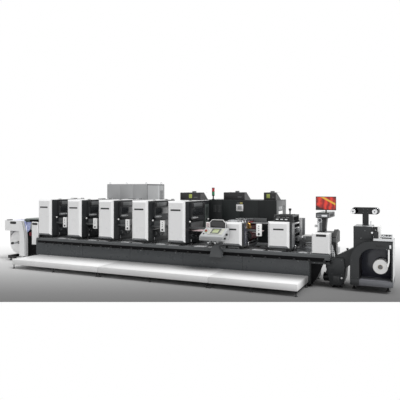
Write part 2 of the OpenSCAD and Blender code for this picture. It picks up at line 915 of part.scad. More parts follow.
module lamp_boxes() {
    color("#222326") {
        lamp_box([units_end - lamp_in - lamp_len, rear_y - lamp_depth - 30, unit_top], lamp_len);
        lamp_box([rcab_x + lamp_at, cab_y + 60, rcab_h], lamp_len);
        lamp_box([rcab_x + rcab_w - lamp_short - 24, cab_y + 60, rcab_h], lamp_short);
    }
}

module electrical_cabinet() {
    color("#a9acae") {
        block([ecab_x, cab_y, ecab_plinth], [ecab_x + ecab_w, cab_y + ecab_depth, ecab_h]);
        block([ecab_x + ecab_in, cab_y + ecab_in, 0],
              [ecab_x + ecab_w - ecab_in, cab_y + ecab_depth - ecab_in, ecab_plinth]);
    }
}

module lifting_eyes() {
    color("#8d9193") for (x = [ecab_x + 60, ecab_x + ecab_w - 60],
                          y = [cab_y + 60, cab_y + ecab_depth - 60]) {
        translate([x, y, ecab_h + eye_r + eye_rod]) rotate([90, 0, 0])
            rotate_extrude() translate([eye_r, 0]) circle(eye_rod);
        bar_z(x, y, ecab_h, ecab_h + 2 * eye_rod, eye_rod * 2);
    }
}

module rear_cabinet() {
    color("#303134")
        block([rcab_x, cab_y, 0], [rcab_x + rcab_w, cab_y + rcab_depth, rcab_h]);
}

module stack_light() {
    x = rcab_x + stack_in;
    y = cab_y + 120;
    z = rcab_h + stem_h;
    color("#2a2b2c") {
        bar_z(x, y, rcab_h, rcab_h + 8, stack_r + 12);
        bar_z(x, y, rcab_h, z, stack_r * 0.4);
    }
    color("#2f9c4a") bar_z(x, y, z, z + stack_h, stack_r);
    color("#c4202a") bar_z(x, y, z + stack_h, z + 2 * stack_h, stack_r);
}

// ---- operator console ----

// Tapered bracket on the rail, with two cheeks that hold the tilt shaft
module console_bracket() {
    y1 = rail_front - gap;
    y0 = y1 - brk_th;
    foot = brk_w / 2;
    head = brk_head / 2;
    neck_z = tilt_z - tilt_r - 12;
    color("#62676a") plate_xz(y0, y1) polygon([
        [brk_mid - foot, brk_z], [brk_mid + foot, brk_z],
        [brk_mid + head, neck_z], [brk_mid - head, neck_z]
    ]);
    color("#1c1d1f") {
        block([brk_mid - head, tilt_y - tilt_r, neck_z - 18], [brk_mid + head, y0, neck_z]);
        for (x = [brk_mid - head, brk_mid + head - cheek_th]) difference() {
            block([x, tilt_y - tilt_r, neck_z], [x + cheek_th, tilt_y + tilt_r, tilt_z + tilt_r]);
            bar_x(x - 1, x + cheek_th + 1, tilt_y, tilt_z, tilt_r * 0.6 + fit);
        }
    }
}

// Desk-shaped housing, carried on its tilt shaft between two lugs
module console_box() {
    color("#cdd0d2") plate_yz(con_x, con_x + con_w) polygon([
        [con_y0, con_z], [con_y1, con_z], [con_y1, con_z + con_back],
        [con_y1 - 30, con_z + con_back], [con_y0, con_z + con_lip]
    ]);
    head = brk_head / 2;
    color("#1c1d1f") {
        for (x = [brk_mid - head - cheek_th - gap, brk_mid + head + gap])
            block([x, tilt_y - tilt_r, tilt_z - tilt_r * 0.7], [x + cheek_th, tilt_y + tilt_r, con_z]);
        bar_x(brk_mid - head - gap, brk_mid + head + gap, tilt_y, tilt_z, tilt_r * 0.6);
    }
}

module console_hood() {
    x0 = con_x + con_hood_in;
    x1 = con_x + con_w - con_hood_in;
    z0 = con_z + con_back - con_hood_low;
    z1 = con_z + con_back + con_hood_h;
    z2 = z1 - con_hood_cut;
    color("#202224") plate_xz(con_y1, con_y1 + con_hood_th) polygon([
        [x0, z0], [x1, z0], [x1, z2], [x1 - con_hood_cut, z1], [x0 + con_hood_cut, z1], [x0, z2]
    ]);
}

// ---- die stations ----

// White covers of the die stations, the inspection station and the infeed
module station_covers() {
    color("#e2e4e5") {
        cover(die1_x, die1_x + die1_w, die_cover_z, die1_top);
        cover(die2_x, die2_x + die2_w, die_cover_z, die2_top);
        cover(insp_x, bench_len, bench_z + 2, insp_top, 16);
        block([insp_x, cover_back, bench_z + 2], [bench_len, cover_back + insp_side, insp_top]);
        cover(feed_x1 - feed_w, feed_x1, feed_z, feed_top, 16);
    }
}

// Closed frame from x0 to x1, with a thick front frame, a rear plate and a floor at its right
module die_frame(x0, x1, top) {
    x2 = x1 + ear_out;
    block([x0, die_frame_front, plinth_top], [x1, die_rear, top]);
    block([x1, die_frame_front, plinth_top], [x2, front_back, top - ear_drop]);
    block([x1, ear_back, plinth_top], [x2, die_rear, top - ear_drop]);
    block([x1, front_back, plinth_top], [x2, ear_back, plinth_top + 18]);
}

module die_frame_1() {
    color("#27282b") die_frame(die1_x, die1_in, die1_top);
}

module die_frame_2() {
    color("#27282b") die_frame(die2_x, die2_in, die2_top);
}

// Turned cylinder on journals that run from plate to plate
module die_cylinder(z) {
    bar_y(die_axis_x, front_back + gap, ear_back - gap, z, journal_r);
    bar_y(die_axis_x, front_back + 56, ear_back - 60, z, die_r);
}

// Upper cylinder with its brass bearer wheel at the operator's end
module die_cylinder_upper() {
    color("#5a1f26") die_cylinder(die_axis_z);
    y = front_back + 20;
    color("#b08d4a") bar_y(die_axis_x, y, y + bearer_th, die_axis_z, bearer_r);
}

module die_cylinder_lower() {
    color("#5a1f26") die_cylinder(die_low_z);
}

// Loose cover plates on top of the first die station
module die_top_plates() {
    x0 = die1_x + 40;
    x1 = die1_in - 20;
    z1 = die1_top + top_plate_th;
    color("#b9bdbf") {
        block([x0, die_frame_front + 20, die1_top], [x1, die_rear - top_split, z1]);
        block([x0, die_rear - top_split + 10, die1_top], [x1, die_rear - 20, z1 + top_plate_th]);
        for (y = [[die_frame_front, front_back], [ear_back, die_rear]])
            block([die1_in, y[0], die1_top - ear_drop], [die1_in + ear_out, y[1], z1 - ear_drop]);
    }
}

// Chrome bars between the roller plates of the die stations, and the unwinder's idlers
module guide_bars() {
    y0 = front_back;
    color("#d5d8da") {
        bar_y(die1_in + ear_out - tie_r - 4, y0, ear_back, plinth_top + 60, tie_r);
        for (k = [0:2])
            bar_y(die2_in + ear_out - 2 * tie_r, y0, ear_back, die2_top - 60 - k * tie_step, tie_r);
        for (x = [unw_axis_x - full_r + idler_r, idler_x])
            bar_y(x, unw_th, house_y0, idler_z, idler_r);
    }
}

// Open bridge of two slotted rails and two cross bars over the second die station
module die_bridge() {
    x0 = die2_x + bridge_in;
    x1 = die2_in + ear_out + bridge_over;
    y0 = die_frame_front + 40;
    y1 = y0 + bridge_depth;
    z0 = die2_top;
    z1 = z0 + bridge_h;
    color("#191a1c") {
        for (y = [y0, y1 - bridge_th]) difference() {
            block([x0, y, z0], [x1, y + bridge_th, z1]);
            for (k = [0:2])
                block([x0 + 40 + k * 90, y - 1, z0 + 30],
                      [x0 + 100 + k * 90, y + bridge_th + 1, z0 + 56]);
            block([x0 + 40, y - 1, z1 - 46], [x1 - 60, y + bridge_th + 1, z1 - 32]);
        }
        for (x = [x0, x1 - bridge_th])
            block([x, y0 + bridge_th, z1 - bridge_th], [x + bridge_th, y1 - bridge_th, z1]);
        block([x0 + bridge_th, screw_y - star_r, z1 - bridge_th],
              [x1 - bridge_th, screw_y + star_r, z1]);
    }
}

// Pressure screw with its star knob, standing on the bridge
module pressure_screw() {
    z0 = die2_top + bridge_h + gap;
    color("#2a2c2e") {
        bar_z(screw_x, screw_y, z0, z0 + star_h * 0.4, star_r * 0.75);
        bar_z(screw_x, screw_y, z0 + star_h * 0.4, z0 + star_h * 0.72, screw_r);
        difference() {
            bar_z(screw_x, screw_y, z0 + star_h * 0.72, z0 + star_h, star_r);
            for (k = [0:4]) rotate_about(screw_x, screw_y, k * 72)
                bar_z(screw_x + star_r * 1.15, screw_y, z0 + star_h * 0.7,
                      z0 + star_h + 1, star_r * 0.42);
        }
    }
}

// Turn the children about the upright line through x, y
module rotate_about(x, y, angle) {
    translate([x, y, 0]) rotate([0, 0, angle]) translate([-x, -y, 0]) children();
}

module web_guard() {
    x0 = die2_in + ear_out + gap;
    color("#8d9194") plate_xz(guard_y, guard_y + guard_th) {
        rect([x0, bench_z], [insp_x, bench_z + guard_h]);
        rect([x0, bench_z + guard_h], [x0 + guard_end, bench_z + guard_tall]);
    }
}

// ---- inspection station ----

module inspection_frame() {
    color("#2f3133")
        block([insp_x + 10, cover_back + insp_side, bench_z],
              [bench_len, cover_back + insp_depth, insp_top - 12]);
}

module camera_column() {
    z0 = insp_top - 12;
    color("#6d7276") {
        block([col_x - col_w / 2, col_y, z0], [col_x + col_w / 2, col_y + col_depth, head_z]);
        bar_x(col_x - col_w / 2 - 60, col_x - col_w / 2, col_y + 50, z0 + col_h * 0.43, 24);
    }
}

module camera_head() {
    x = insp_x + insp_w / 2;
    color("#2d2f32")
        block([x - head_w / 2, head_y, head_z], [x + head_w / 2, head_y + head_depth, head_z + head_h]);
}

// Flat screen on a short round neck
module monitor() {
    x = insp_x + insp_w / 2 + mon_shift;
    z = head_z + head_h;
    color("#17181a") {
        bar_z(x, mon_y, z, z + mon_neck, neck_r);
        block([x - mon_w / 2, mon_y - mon_th / 2, z + mon_neck],
              [x + mon_w / 2, mon_y + mon_th / 2, z + mon_neck + mon_h]);
    }
}

// ---- waste take-off and link ----

// Deep hopper on a column that stands against the bench's end, and the waste chute before it
module waste_hopper() {
    x0 = bench_len;
    y1 = hop_y + hop_depth;
    color("#18191b") {
        plate_yz(x0, x0 + hop_w) polygon([
            [hop_y, hop_z], [y1, hop_z], [y1, hop_z + hop_h - hop_cut],
            [hop_y + hop_depth * 0.62, hop_z + hop_h], [hop_y, hop_z + hop_h - hop_slope]
        ]);
        block([x0, hop_y + 10, link_top], [x0 + hop_col, hop_y + 10 + hop_col_depth, hop_z]);
    }
    color("#a9adaf") plate_xz(hop_y - chute_th, hop_y) polygon([
        [x0, link_top], [x0 + chute_w, link_top], [x0 + chute_w * 0.5, hop_z + 20], [x0, hop_z + 20]
    ]);
}

// Closed block that joins the bench to the rewinder, with its drive motor
module link_block() {
    x1 = link_x + link_w;
    y1 = link_y + link_depth;
    color("#2d3033") {
        plate_xz(link_y, y1) polygon([
            [link_x, foot_h], [x1 - 30, foot_h], [x1, foot_h + 90], [x1, link_top], [link_x, link_top]
        ]);
        bar_x(link_x - motor_len, link_x + motor_r, link_y + link_depth * 0.6, motor_z, motor_r);
    }
}

// Slanting web plate from the link block up to the rewinder's arch, on a closed duct
module link_strut() {
    x0 = link_x + hop_w + gap;
    x1 = tower_x - gap;
    xb = link_x + link_w;
    color("#26292b") plate_xz(link_y + 60, link_y + 60 + strut_depth) difference() {
        union() {
            polygon([
                [x0, link_top], [x0 + 60, link_top], [x1, link_top + strut_rise - strut_th],
                [x1, link_top + strut_rise], [x0, link_top + strut_th]
            ]);
            polygon([
                [x0 + 60, link_top], [xb + gap, link_top], [xb + gap, link_top - duct_drop],
                [xb + 40, link_top - duct_drop], [x1, link_top - duct_drop / 3],
                [x1, link_top + strut_rise - strut_th]
            ]);
        }
        rewinder_outline(gap);
    }
}

// ---- rewinder ----

// Upright outline with a round left shoulder, grown outwards by g
module shoulder_outline(x0, x1, z0, z1, r, g = 0) {
    rect([x0 - g, z0], [x1, z1 - r]);
    rect([x0 + r, z1 - r], [x1, z1 + g]);
    intersection() {
        translate([x0 + r, z1 - r]) circle(r + g, $fn = 96);
        rect([x0 - g, z1 - r - 1], [x0 + r + 1, z1 + g]);
    }
}

// Outer outline of the rewinder, grown by g
module rewinder_outline(g = 0) {
    shoulder_outline(rew_x, rew_right, base_top, rew_top, arch_r, g);
}

// Deep arch round the roll bay
module rewinder_arch() {
    color("#2f3236") plate_xz(0, arch_back) difference() {
        rewinder_outline();
        shoulder_outline(rew_x + arch_post, rew_right - arch_wall, base_top - 1, rew_top - arch_beam,
                         arch_r - arch_beam - 20);
    }
}

module rewinder_housing() {
    color("#33363b") plate_xz(arch_back, rew_depth) rewinder_outline();
}

module rewinder_base() {
    color("#5b5e63") block([rew_x, 0, rew_z], [rew_right, rew_depth, base_top]);
}

// Tower that grows out of the arch's shoulder
module rewinder_tower() {
    x0 = tower_x;
    y1 = tower_y + tower_depth;
    color("#2b2e31") plate_xz(tower_y, y1) difference() {
        rect([x0, rew_top - arch_r * 0.5], [x0 + tower_w, tower_top]);
        rewinder_outline(gap);
    }
}

// T-shaped head with round ends on a square column
module dancer_head() {
    y1 = dance_y + dance_th;
    r = dance_head_h / 2;
    color("#232528") {
        block([dance_mid - dance_col / 2, dance_y, tower_top],
              [dance_mid + dance_col / 2, y1, dance_z]);
        plate_xz(dance_y, y1) {
            rect([dance_mid - dance_len / 2 + r, dance_z], [dance_mid + dance_len / 2 - r, dance_z + 2 * r]);
            for (s = [-1, 1]) translate([dance_mid + s * (dance_len / 2 - r), dance_z + r]) circle(r);
        }
    }
}

// Chrome idler that runs before one end of the dancer's head
module dancer_roller(s) {
    x = dance_mid + s * (dance_len / 2 - dance_head_h / 2);
    color("#d8dbdd") bar_y(x, roll_y0, roll_y0 + web_w, dance_z + dance_head_h / 2, dance_r);
}

module dancer_roller_left() {
    dancer_roller(-1);
}

module dancer_roller_right() {
    dancer_roller(1);
}

// Slitting table with the white plate of its nip stand
module slitting_table() {
    x0 = rew_right - table_w;
    color("#c3c7c9") block([x0, 20, rew_top], [rew_right, 20 + table_depth, rew_top + table_h]);
    color("#eceeee")
        block([x0 + 70, 60, rew_top + table_h], [x0 + 70 + nip_th, table_depth - 40, rew_top + nip_h]);
}

// Paper roll on its cardboard core, and the steel shaft through it
module paper_roll(x, y0, z, r, shaft_y0, shaft_y1) {
    color("#f1f2f2") difference() {
        bar_y(x, y0, y0 + web_w, z, r);
        bar_y(x, y0 - 1, y0 + web_w + 1, z, core_r + fit);
    }
    color("#6e7274") bar_y(x, shaft_y0, shaft_y1, z, core_r);
}

module rewind_roll() {
    paper_roll(axis_rew_x, roll_y0, roll_z, roll_r, roll_y0 - 12, arch_back - gap);
}

// ---- unwinder and infeed ----

// Front frame: a column with a round shoulder, and an arm reaching left
module unwinder_frame() {
    x1 = unw_x;
    z_arm = unw_top - unw_arm;
    r = unw_shoulder;
    color("#e6e8e9") plate_xz(0, unw_th) {
        rect([x1 - unw_col, foot_h + rail_h], [x1, unw_top - r]);
        rect([unw_left, z_arm], [x1 - r, unw_top]);
        intersection() {
            translate([x1 - r, unw_top - r]) circle(r, $fn = 96);
            rect([x1 - r - 1, unw_top - r - 1], [x1, unw_top]);
        }
    }
}

module unwinder_housing() {
    color("#d9dbdc")
        block([unw_left + 60, house_y0, rail_top], [unw_x, house_y1, unw_top]);
}

// Two rails from front to back, joined by a cross beam under the housing
module unwinder_base() {
    x_left = unw_left + rail_in;
    x_right = unw_x - rail_w;
    color("#17181a") {
        for (x = [x_left, x_right]) block([x, 0, foot_h], [x + rail_w, house_y1, rail_top]);
        block([x_left + rail_w, house_y0 + 60, foot_h], [x_right, house_y0 + 60 + rail_w, rail_top]);
    }
}

module unwind_roll() {
    paper_roll(unw_axis_x, full_y0, axis_z, full_r, full_y0 - 14, house_y0 - gap);
}

// Black housing between the unwinder and the first unit, with a cover over its rollers
module infeed_body() {
    z = feed_top - 12;
    color("#1a1b1d") block([feed_x0, cover_back, foot_h], [feed_x1, die_rear, z]);
    color("#3b4a46") block([feed_x0, cover_back, z], [feed_x1, cover_back + web_w, z + lid_h]);
}

// Dark red nip roller on the infeed's left face
module infeed_roller() {
    color("#5a1f26") bar_y(feed_axis_x, full_y0 + 20, house_y0 - gap, feed_axis_z, feed_r);
}

// Web from the full roll over the arm, and web down to the finished roll
module paper_web() {
    y1 = full_y0 + web_w;
    left = unw_axis_x - full_r - gap - web_th;
    top = idler_z + idler_r + gap;
    right = axis_rew_x + roll_r + gap;
    color("#f4f5f6") {
        block([left, full_y0, axis_z], [left + web_th, y1, idler_z]);
        block([left + idler_r, full_y0, top], [idler_x, y1, top + web_th]);
        plate_xz(full_y0, y1) polygon([
            [web_x, feed_axis_z], [web_x + web_th, feed_axis_z],
            [web_x - web_slant + web_th, idler_z], [web_x - web_slant, idler_z]
        ]);
        block([right, roll_y0, roll_z], [right + web_th, roll_y0 + web_w, rew_top - arch_beam - gap]);
    }
}

in_frame() step_decks();
in_frame() levelling_feet();
in_frame() base_frame();
in_frame() base_skirt();
in_frame() end_frames();
in_frame() bench_top();
in_frame() bench_rail();
in_frame() tail_drive();
in_frame() unit_frame(0);  // unit_frame_1
in_frame() unit_frame(1);  // unit_frame_2
in_frame() unit_frame(2);  // unit_frame_3
in_frame() unit_frame(3);  // unit_frame_4
in_frame() unit_frame(4);  // unit_frame_5
in_frame() unit_plinths();
in_frame() unit_covers();
in_frame() unit_hoods();
in_frame() unit_handles();
in_frame() button_plates();
in_frame() lamp_boxes();
in_frame() electrical_cabinet();
in_frame() lifting_eyes();
in_frame() rear_cabinet();
in_frame() stack_light();
in_frame() console_bracket();
in_frame() console_box();
in_frame() console_hood();
in_frame() station_covers();
in_frame() die_frame_1();
in_frame() die_frame_2();
in_frame() die_cylinder_upper();
in_frame() die_cylinder_lower();
in_frame() die_top_plates();
in_frame() guide_bars();
in_frame() die_bridge();
in_frame() pressure_screw();
in_frame() web_guard();
in_frame() inspection_frame();
in_frame() camera_column();
in_frame() camera_head();
in_frame() monitor();
in_frame() waste_hopper();
in_frame() link_block();
in_frame() link_strut();
in_frame() rewinder_arch();
in_frame() rewinder_housing();
in_frame() rewinder_base();
in_frame() rewinder_tower();
in_frame() dancer_head();
in_frame() dancer_roller_left();
in_frame() dancer_roller_right();
in_frame() slitting_table();
in_frame() rewind_roll();
in_frame() unwinder_frame();
in_frame() unwinder_housing();
in_frame() unwinder_base();
in_frame() unwind_roll();
in_frame() infeed_body();
in_frame() infeed_roller();
in_frame() paper_web();
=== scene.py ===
"""Finishes, small parts, floor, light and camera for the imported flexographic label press."""
import json
import math
from itertools import product

import bmesh
import bpy
from mathutils import Matrix, Vector


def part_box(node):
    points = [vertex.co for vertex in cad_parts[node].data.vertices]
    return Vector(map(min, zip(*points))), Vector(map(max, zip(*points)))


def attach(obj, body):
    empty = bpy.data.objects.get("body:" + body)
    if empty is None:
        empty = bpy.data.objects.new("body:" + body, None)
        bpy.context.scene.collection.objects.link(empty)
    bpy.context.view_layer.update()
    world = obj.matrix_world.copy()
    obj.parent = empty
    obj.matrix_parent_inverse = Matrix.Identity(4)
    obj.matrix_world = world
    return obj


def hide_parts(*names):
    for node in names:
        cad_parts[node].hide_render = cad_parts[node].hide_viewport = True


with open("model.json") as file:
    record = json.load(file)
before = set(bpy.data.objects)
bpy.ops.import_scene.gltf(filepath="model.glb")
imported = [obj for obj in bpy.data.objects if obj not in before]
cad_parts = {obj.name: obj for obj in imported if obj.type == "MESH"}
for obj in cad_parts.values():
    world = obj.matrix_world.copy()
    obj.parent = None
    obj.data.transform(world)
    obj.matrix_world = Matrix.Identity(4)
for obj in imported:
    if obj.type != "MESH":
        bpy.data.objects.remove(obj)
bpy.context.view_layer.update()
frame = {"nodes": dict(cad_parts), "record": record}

ROOT = "press"

# ---------------------------------------------------------------- camera

CAMERA_AT = (5.1385, -9.5902, 1.9)
CAMERA_YAW = math.radians(25.14)
CAMERA_LENS = 41.81
CAMERA_SHIFT = -0.03


def make_camera():
    """The photo's camera: level, and on the operator's side of the press."""
    data = bpy.data.cameras.new("camera")
    data.lens = CAMERA_LENS
    data.sensor_width = 36.0
    data.shift_y = CAMERA_SHIFT
    data.clip_end = 200.0
    camera = bpy.data.objects.new("camera", data)
    camera.location = CAMERA_AT
    camera.rotation_euler = (math.pi / 2, 0.0, CAMERA_YAW)
    bpy.context.scene.collection.objects.link(camera)
    bpy.context.scene.camera = camera


make_camera()
bpy.context.scene.view_settings.view_transform = "Standard"

# ---------------------------------------------------------------- shader helpers

LOOKS = {}


class Shader:
    """A node tree, built step by step."""

    def __init__(self, owner, output="ShaderNodeOutputMaterial"):
        owner.use_nodes = True
        self.tree = owner.node_tree
        self.tree.nodes.clear()
        self.output = self.add(output)

    def add(self, kind, inputs=None, **settings):
        node = self.tree.nodes.new(kind)
        for key, value in settings.items():
            setattr(node, key, value)
        for key, value in (inputs or {}).items():
            if isinstance(value, bpy.types.NodeSocket):
                self.tree.links.new(value, node.inputs[key])
            else:
                node.inputs[key].default_value = value
        return node

    def end(self, surface):
        self.tree.links.new(surface, self.output.inputs["Surface"])

    def here(self):
        """The piece's own coordinates in metres."""
        return self.add("ShaderNodeTexCoord").outputs["Object"]

    def place(self, stretch=(1.0, 1.0, 1.0)):
        """The piece's own coordinates, stretched along each axis."""
        return self.add("ShaderNodeMapping", {"Vector": self.here(), "Scale": stretch}).outputs["Vector"]

    def split(self, vector):
        return self.add("ShaderNodeSeparateXYZ", {"Vector": vector}).outputs

    def facing(self, axis):
        """How far the surface faces along an axis, from -1 to 1."""
        return self.split(self.add("ShaderNodeNewGeometry").outputs["Normal"])[axis]

    def join(self, x, y=0.0, z=0.0):
        return self.add("ShaderNodeCombineXYZ", {"X": x, "Y": y, "Z": z}).outputs["Vector"]

    def math(self, operation, *values):
        return self.add("ShaderNodeMath", dict(enumerate(values)), operation=operation).outputs["Value"]

    def vector(self, operation, *values):
        return self.add("ShaderNodeVectorMath", dict(enumerate(values)), operation=operation).outputs

    def noise(self, where, scale, detail=3.0, rough=0.55):
        values = {"Vector": where, "Scale": scale, "Detail": detail, "Roughness": rough}
        return self.add("ShaderNodeTexNoise", values).outputs["Fac"]

    def span(self, value, low, high, start=0.0, end=1.0):
        """Carries the stretch from start to end over to the stretch from low to high."""
        values = {"Value": value, "From Min": start, "From Max": end, "To Min": low, "To Max": high}
        return self.add("ShaderNodeMapRange", values).outputs["Result"]

    def mix(self, factor, a, b):
        a, b = (c if isinstance(c, bpy.types.NodeSocket) else (*c[:3], 1.0) for c in (a, b))
        return self.add("ShaderNodeMix", {"Factor": factor, "A": a, "B": b},
                        data_type="RGBA").outputs["Result"]

    def shades(self, factor, color, low, high):
        """One colour, from a darker to a lighter shade of it."""
        return self.mix(factor, tinted(color, low), tinted(color, high))

    def ramp(self, value, tones):
        """Greys along a value: tones lists (place from 0 to 1, grey)."""
        node = self.add("ShaderNodeValToRGB", {"Fac": value})
        stops = node.color_ramp.elements
        stops.remove(stops[-1])
        stops[0].position = tones[0][0]
        stops[0].color = grey(tones[0][1])
        for place, tone in tones[1:]:
            stops.new(place).color = grey(tone)
        return node.outputs["Color"]

    def relief(self, height, strength, distance, edge=0.0025):
        """Small relief on top of softly rounded edges."""
        soft = self.add("ShaderNodeBevel", {"Radius": edge}, samples=4).outputs["Normal"]
        values = {"Height": height, "Strength": strength, "Distance": distance, "Normal": soft}
        return self.add("ShaderNodeBump", values).outputs["Normal"]

    def finish(self, color, rough, normal, metal=0.0, specular=0.4, coat=0.0, **extra):
        values = {"Base Color": color, "Roughness": rough, "Normal": normal, "Metallic": metal,
                  "Specular IOR Level": specular, "Coat Weight": coat, **extra}
        self.end(self.add("ShaderNodeBsdfPrincipled", values).outputs["BSDF"])


def new_look(name):
    """Starts a finish, which the pieces then find in LOOKS by its name."""
    LOOKS[name] = bpy.data.materials.new(name)
    return Shader(LOOKS[name])


def grey(value):
    return (value, value, value, 1.0)


def tinted(color, factor):
    return tuple(min(1.0, max(0.0, c * factor)) for c in color)


# ---------------------------------------------------------------- finishes


def paint(name, color, rough, vary, bump=0.06, specular=0.4, coat=0.0, dust=0.0, under=None, end=None):
    """Powder coat: orange peel, faint clouds in tone and gloss, and light dust on upward faces.

    Faces that look down take the colour given for them, a painted shade. Past the place along X given for the
    end, the tone given for it is painted on, a painted highlight on a lit end face."""
    s = new_look(name)
    where = s.place()
    cloud = s.noise(where, 1.9, 5.0)
    tone = s.shades(cloud, color, 1 - vary, 1 + vary)
    tone = s.mix(s.span(s.noise(where, 46.0), 0.0, 0.35, 0.35, 0.9), tone, tinted(color, 1 + vary))
    # painted shade: faces that look down take a darker colour
    if under:
        tone = s.mix(s.span(s.facing("Z"), 1.0, 0.0, -0.55, -0.15), tone, under)
    # painted highlight: the face past the given place along X takes a pale tone
    if end:
        tone = s.mix(s.span(s.split(where)["X"], 0.0, 1.0, end[0] - 0.003, end[0] - 0.001), tone, end[1])
    if dust:
        upward = s.span(s.facing("Z"), 0.0, dust, 0.6, 1.0)
        settled = s.math("MULTIPLY", upward, s.span(cloud, 0.5, 1.0, 0.3, 0.7))
        tone = s.mix(settled, tone, (0.46, 0.46, 0.45))
    gloss = s.span(s.noise(where, 7.0, 4.0), rough * 0.82, rough * 1.18, 0.3, 0.7)
    s.finish(tone, gloss, s.relief(s.noise(where, 700.0, 2.0), bump, 0.0006), 0.0, specular, coat)


def metal(name, color, rough, along, lines, bump=0.10, vary=0.08, full=1.0):
    """Ground or drawn metal with fine lines along one axis and uneven gloss."""
    s = new_look(name)
    line = s.noise(s.place(along), lines, 4.0, 0.7)
    cloud = s.noise(s.place(), 5.0, 4.0)
    tone = s.shades(line, color, 1 - vary, 1 + vary)
    tone = s.mix(s.span(cloud, 0.0, 0.5, 0.45, 0.8), tone, tinted(color, 1 - 2 * vary))
    gloss = s.span(line, rough * 0.75, rough * 1.3, 0.25, 0.75)
    s.finish(tone, gloss, s.relief(line, bump, 0.0004, 0.0015), full, 0.5)


def plastic(name, color, rough, bump=0.05, vary=0.04, glow=0.0, clear=0.0):
    """Moulded plastic with a faint mould grain."""
    s = new_look(name)
    where = s.place()
    cloud = s.noise(where, 12.0)
    tone = s.shades(cloud, color, 1 - vary, 1 + vary)
    gloss = s.span(cloud, rough * 0.85, rough * 1.15, 0.3, 0.7)
    extra = {"Emission Color": (*color, 1.0), "Emission Strength": glow} if glow else {}
    s.finish(tone, gloss, s.relief(s.noise(where, 1500.0, 1.0), bump, 0.0003, 0.001),
             0.0, 0.5, clear, **extra)


def rubber(name, color, rough):
    """Ground rubber with faint turning marks round the roller."""
    s = new_look(name)
    marks = s.noise(s.place((1.0, 60.0, 1.0)), 9.0)
    tone = s.shades(marks, color, 0.82, 1.25)
    gloss = s.span(marks, rough * 0.8, rough * 1.2, 0.3, 0.7)
    s.finish(tone, gloss, s.relief(s.noise(s.place(), 900.0), 0.12, 0.0004), 0.0, 0.3, 0.05)


def rolled_paper(name, color, axis_point):
    """Wound paper: fine rings on the ends round the roll's axis, plain wraps on the outside."""
    s = new_look(name)
    away = s.vector("SUBTRACT", s.here(), axis_point)["Vector"]
    flat = s.vector("MULTIPLY", away, (1.0, 0.0, 1.0))["Vector"]
    radius = s.join(s.vector("LENGTH", flat)["Value"])
    rings = s.noise(radius, 260.0, 3.0, 0.8)
    wide = s.noise(radius, 34.0, 2.0)
    tone = s.mix(s.span(wide, 0.0, 0.6, 0.5, 0.8), s.shades(rings, color, 0.90, 1.03), tinted(color, 0.86))
    s.finish(tone, s.span(wide, 0.5, 0.75), s.relief(rings, 0.25, 0.0004, 0.0008), 0.0, 0.3)


def web_paper(name, color):
    """Plain uncoated paper with faint fibre clouds."""
    s = new_look(name)
    where = s.place()
    cloud = s.noise(where, 30.0, 4.0)
    fibre = s.relief(s.noise(where, 1200.0), 0.06, 0.0003, 0.0005)
    s.finish(s.shades(cloud, color, 0.95, 1.03), s.span(cloud, 0.45, 0.62), fibre, 0.0, 0.35)


def web_print(name, base, inks):
    """A generic label print: rounded tiles, each with a core in a second ink, on a plain ground."""
    s = new_look(name)
    where = s.place()
    across = s.split(where)
    flat = s.join(s.math("ADD", across["X"], across["Y"]), across["Z"])
    tiles = s.add("ShaderNodeTexVoronoi", {"Vector": flat, "Scale": 13.0, "Randomness": 0.35},
                  distance="CHEBYCHEV").outputs["Distance"]
    tone = s.mix(s.span(tiles, 1.0, 0.0, 0.28, 0.33), base, inks[0])
    tone = s.mix(s.span(tiles, 1.0, 0.0, 0.12, 0.16), tone, inks[1])
    cloud = s.noise(where, 16.0)
    tone = s.mix(s.span(cloud, 0.0, 0.4, 0.4, 0.8), tone, base)
    s.finish(tone, s.span(cloud, 0.32, 0.45), s.relief(cloud, 0.04, 0.0003, 0.0005), 0.0, 0.4, 0.15)


def perforated(name, color, pitch, hole, rough, full=0.55):
    """Brushed sheet with a field of small dark holes."""
    s = new_look(name)
    where = s.place()
    across = s.split(where)
    flat = s.join(across["X"], across["Z"], across["Y"])
    dots = s.add("ShaderNodeTexVoronoi", {"Vector": flat, "Scale": 1.0 / pitch, "Randomness": 0.0})
    solid = s.span(dots.outputs["Distance"], 0.0, 1.0, hole - 0.06, hole + 0.06)
    cloud = s.noise(where, 6.0)
    tone = s.mix(solid, (0.03, 0.03, 0.032), s.shades(cloud, color, 0.9, 1.08))
    s.finish(tone, s.span(cloud, rough * 0.8, rough * 1.2), s.relief(solid, 0.35, 0.0012), full, 0.5)


# tone of the top of the platform sheet, painted shade and painted reflection of the dark machine: from its
# front edge (0) to the strip by the machine (1)
DECK_TONES = ((0.0, 0.90), (0.22, 0.97), (0.38, 0.88), (0.50, 0.76), (0.62, 0.60), (0.75, 0.45),
              (0.88, 0.34), (1.0, 0.24))


def tread(name, color, rough):
    """Pale sheet of the step platform, with painted shade and painted reflection of the machine: lighter at
    its front, greyer towards the machine and sooner so towards the far end, with a fine grain.
    """
    s = new_look(name)
    where = s.place()
    cloud = s.noise(where, 2.3, 5.0)
    scuff = s.noise(s.place((0.35, 2.2, 1.0)), 9.0, 6.0, 0.7)
    low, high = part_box("step_decks")
    along = s.split(where)
    # painted shade and reflection of the machine: darker towards the machine, and sooner towards the far end
    faster = s.span(along["X"], 0.77, 1.34, low.x, high.x)
    depth = s.math("MULTIPLY", s.span(along["Y"], 0.0, 1.0, low.y, high.y), faster)
    tone = s.mix(s.span(s.facing("Y"), 1.0, 0.0, -0.8, -0.4), s.ramp(depth, DECK_TONES), color)
    tone = s.mix(s.span(cloud, 0.0, 0.10, 0.35, 0.65), tone, tinted(color, 0.55))
    tone = s.mix(s.span(scuff, 0.0, 0.14, 0.60, 0.80), tone, tinted(color, 0.5))
    gloss = s.span(scuff, rough * 0.8, rough * 1.5, 0.3, 0.75)
    s.finish(tone, gloss, s.relief(s.noise(where, 420.0, 2.0), 0.10, 0.0008, 0.004), 0.0, 0.45)


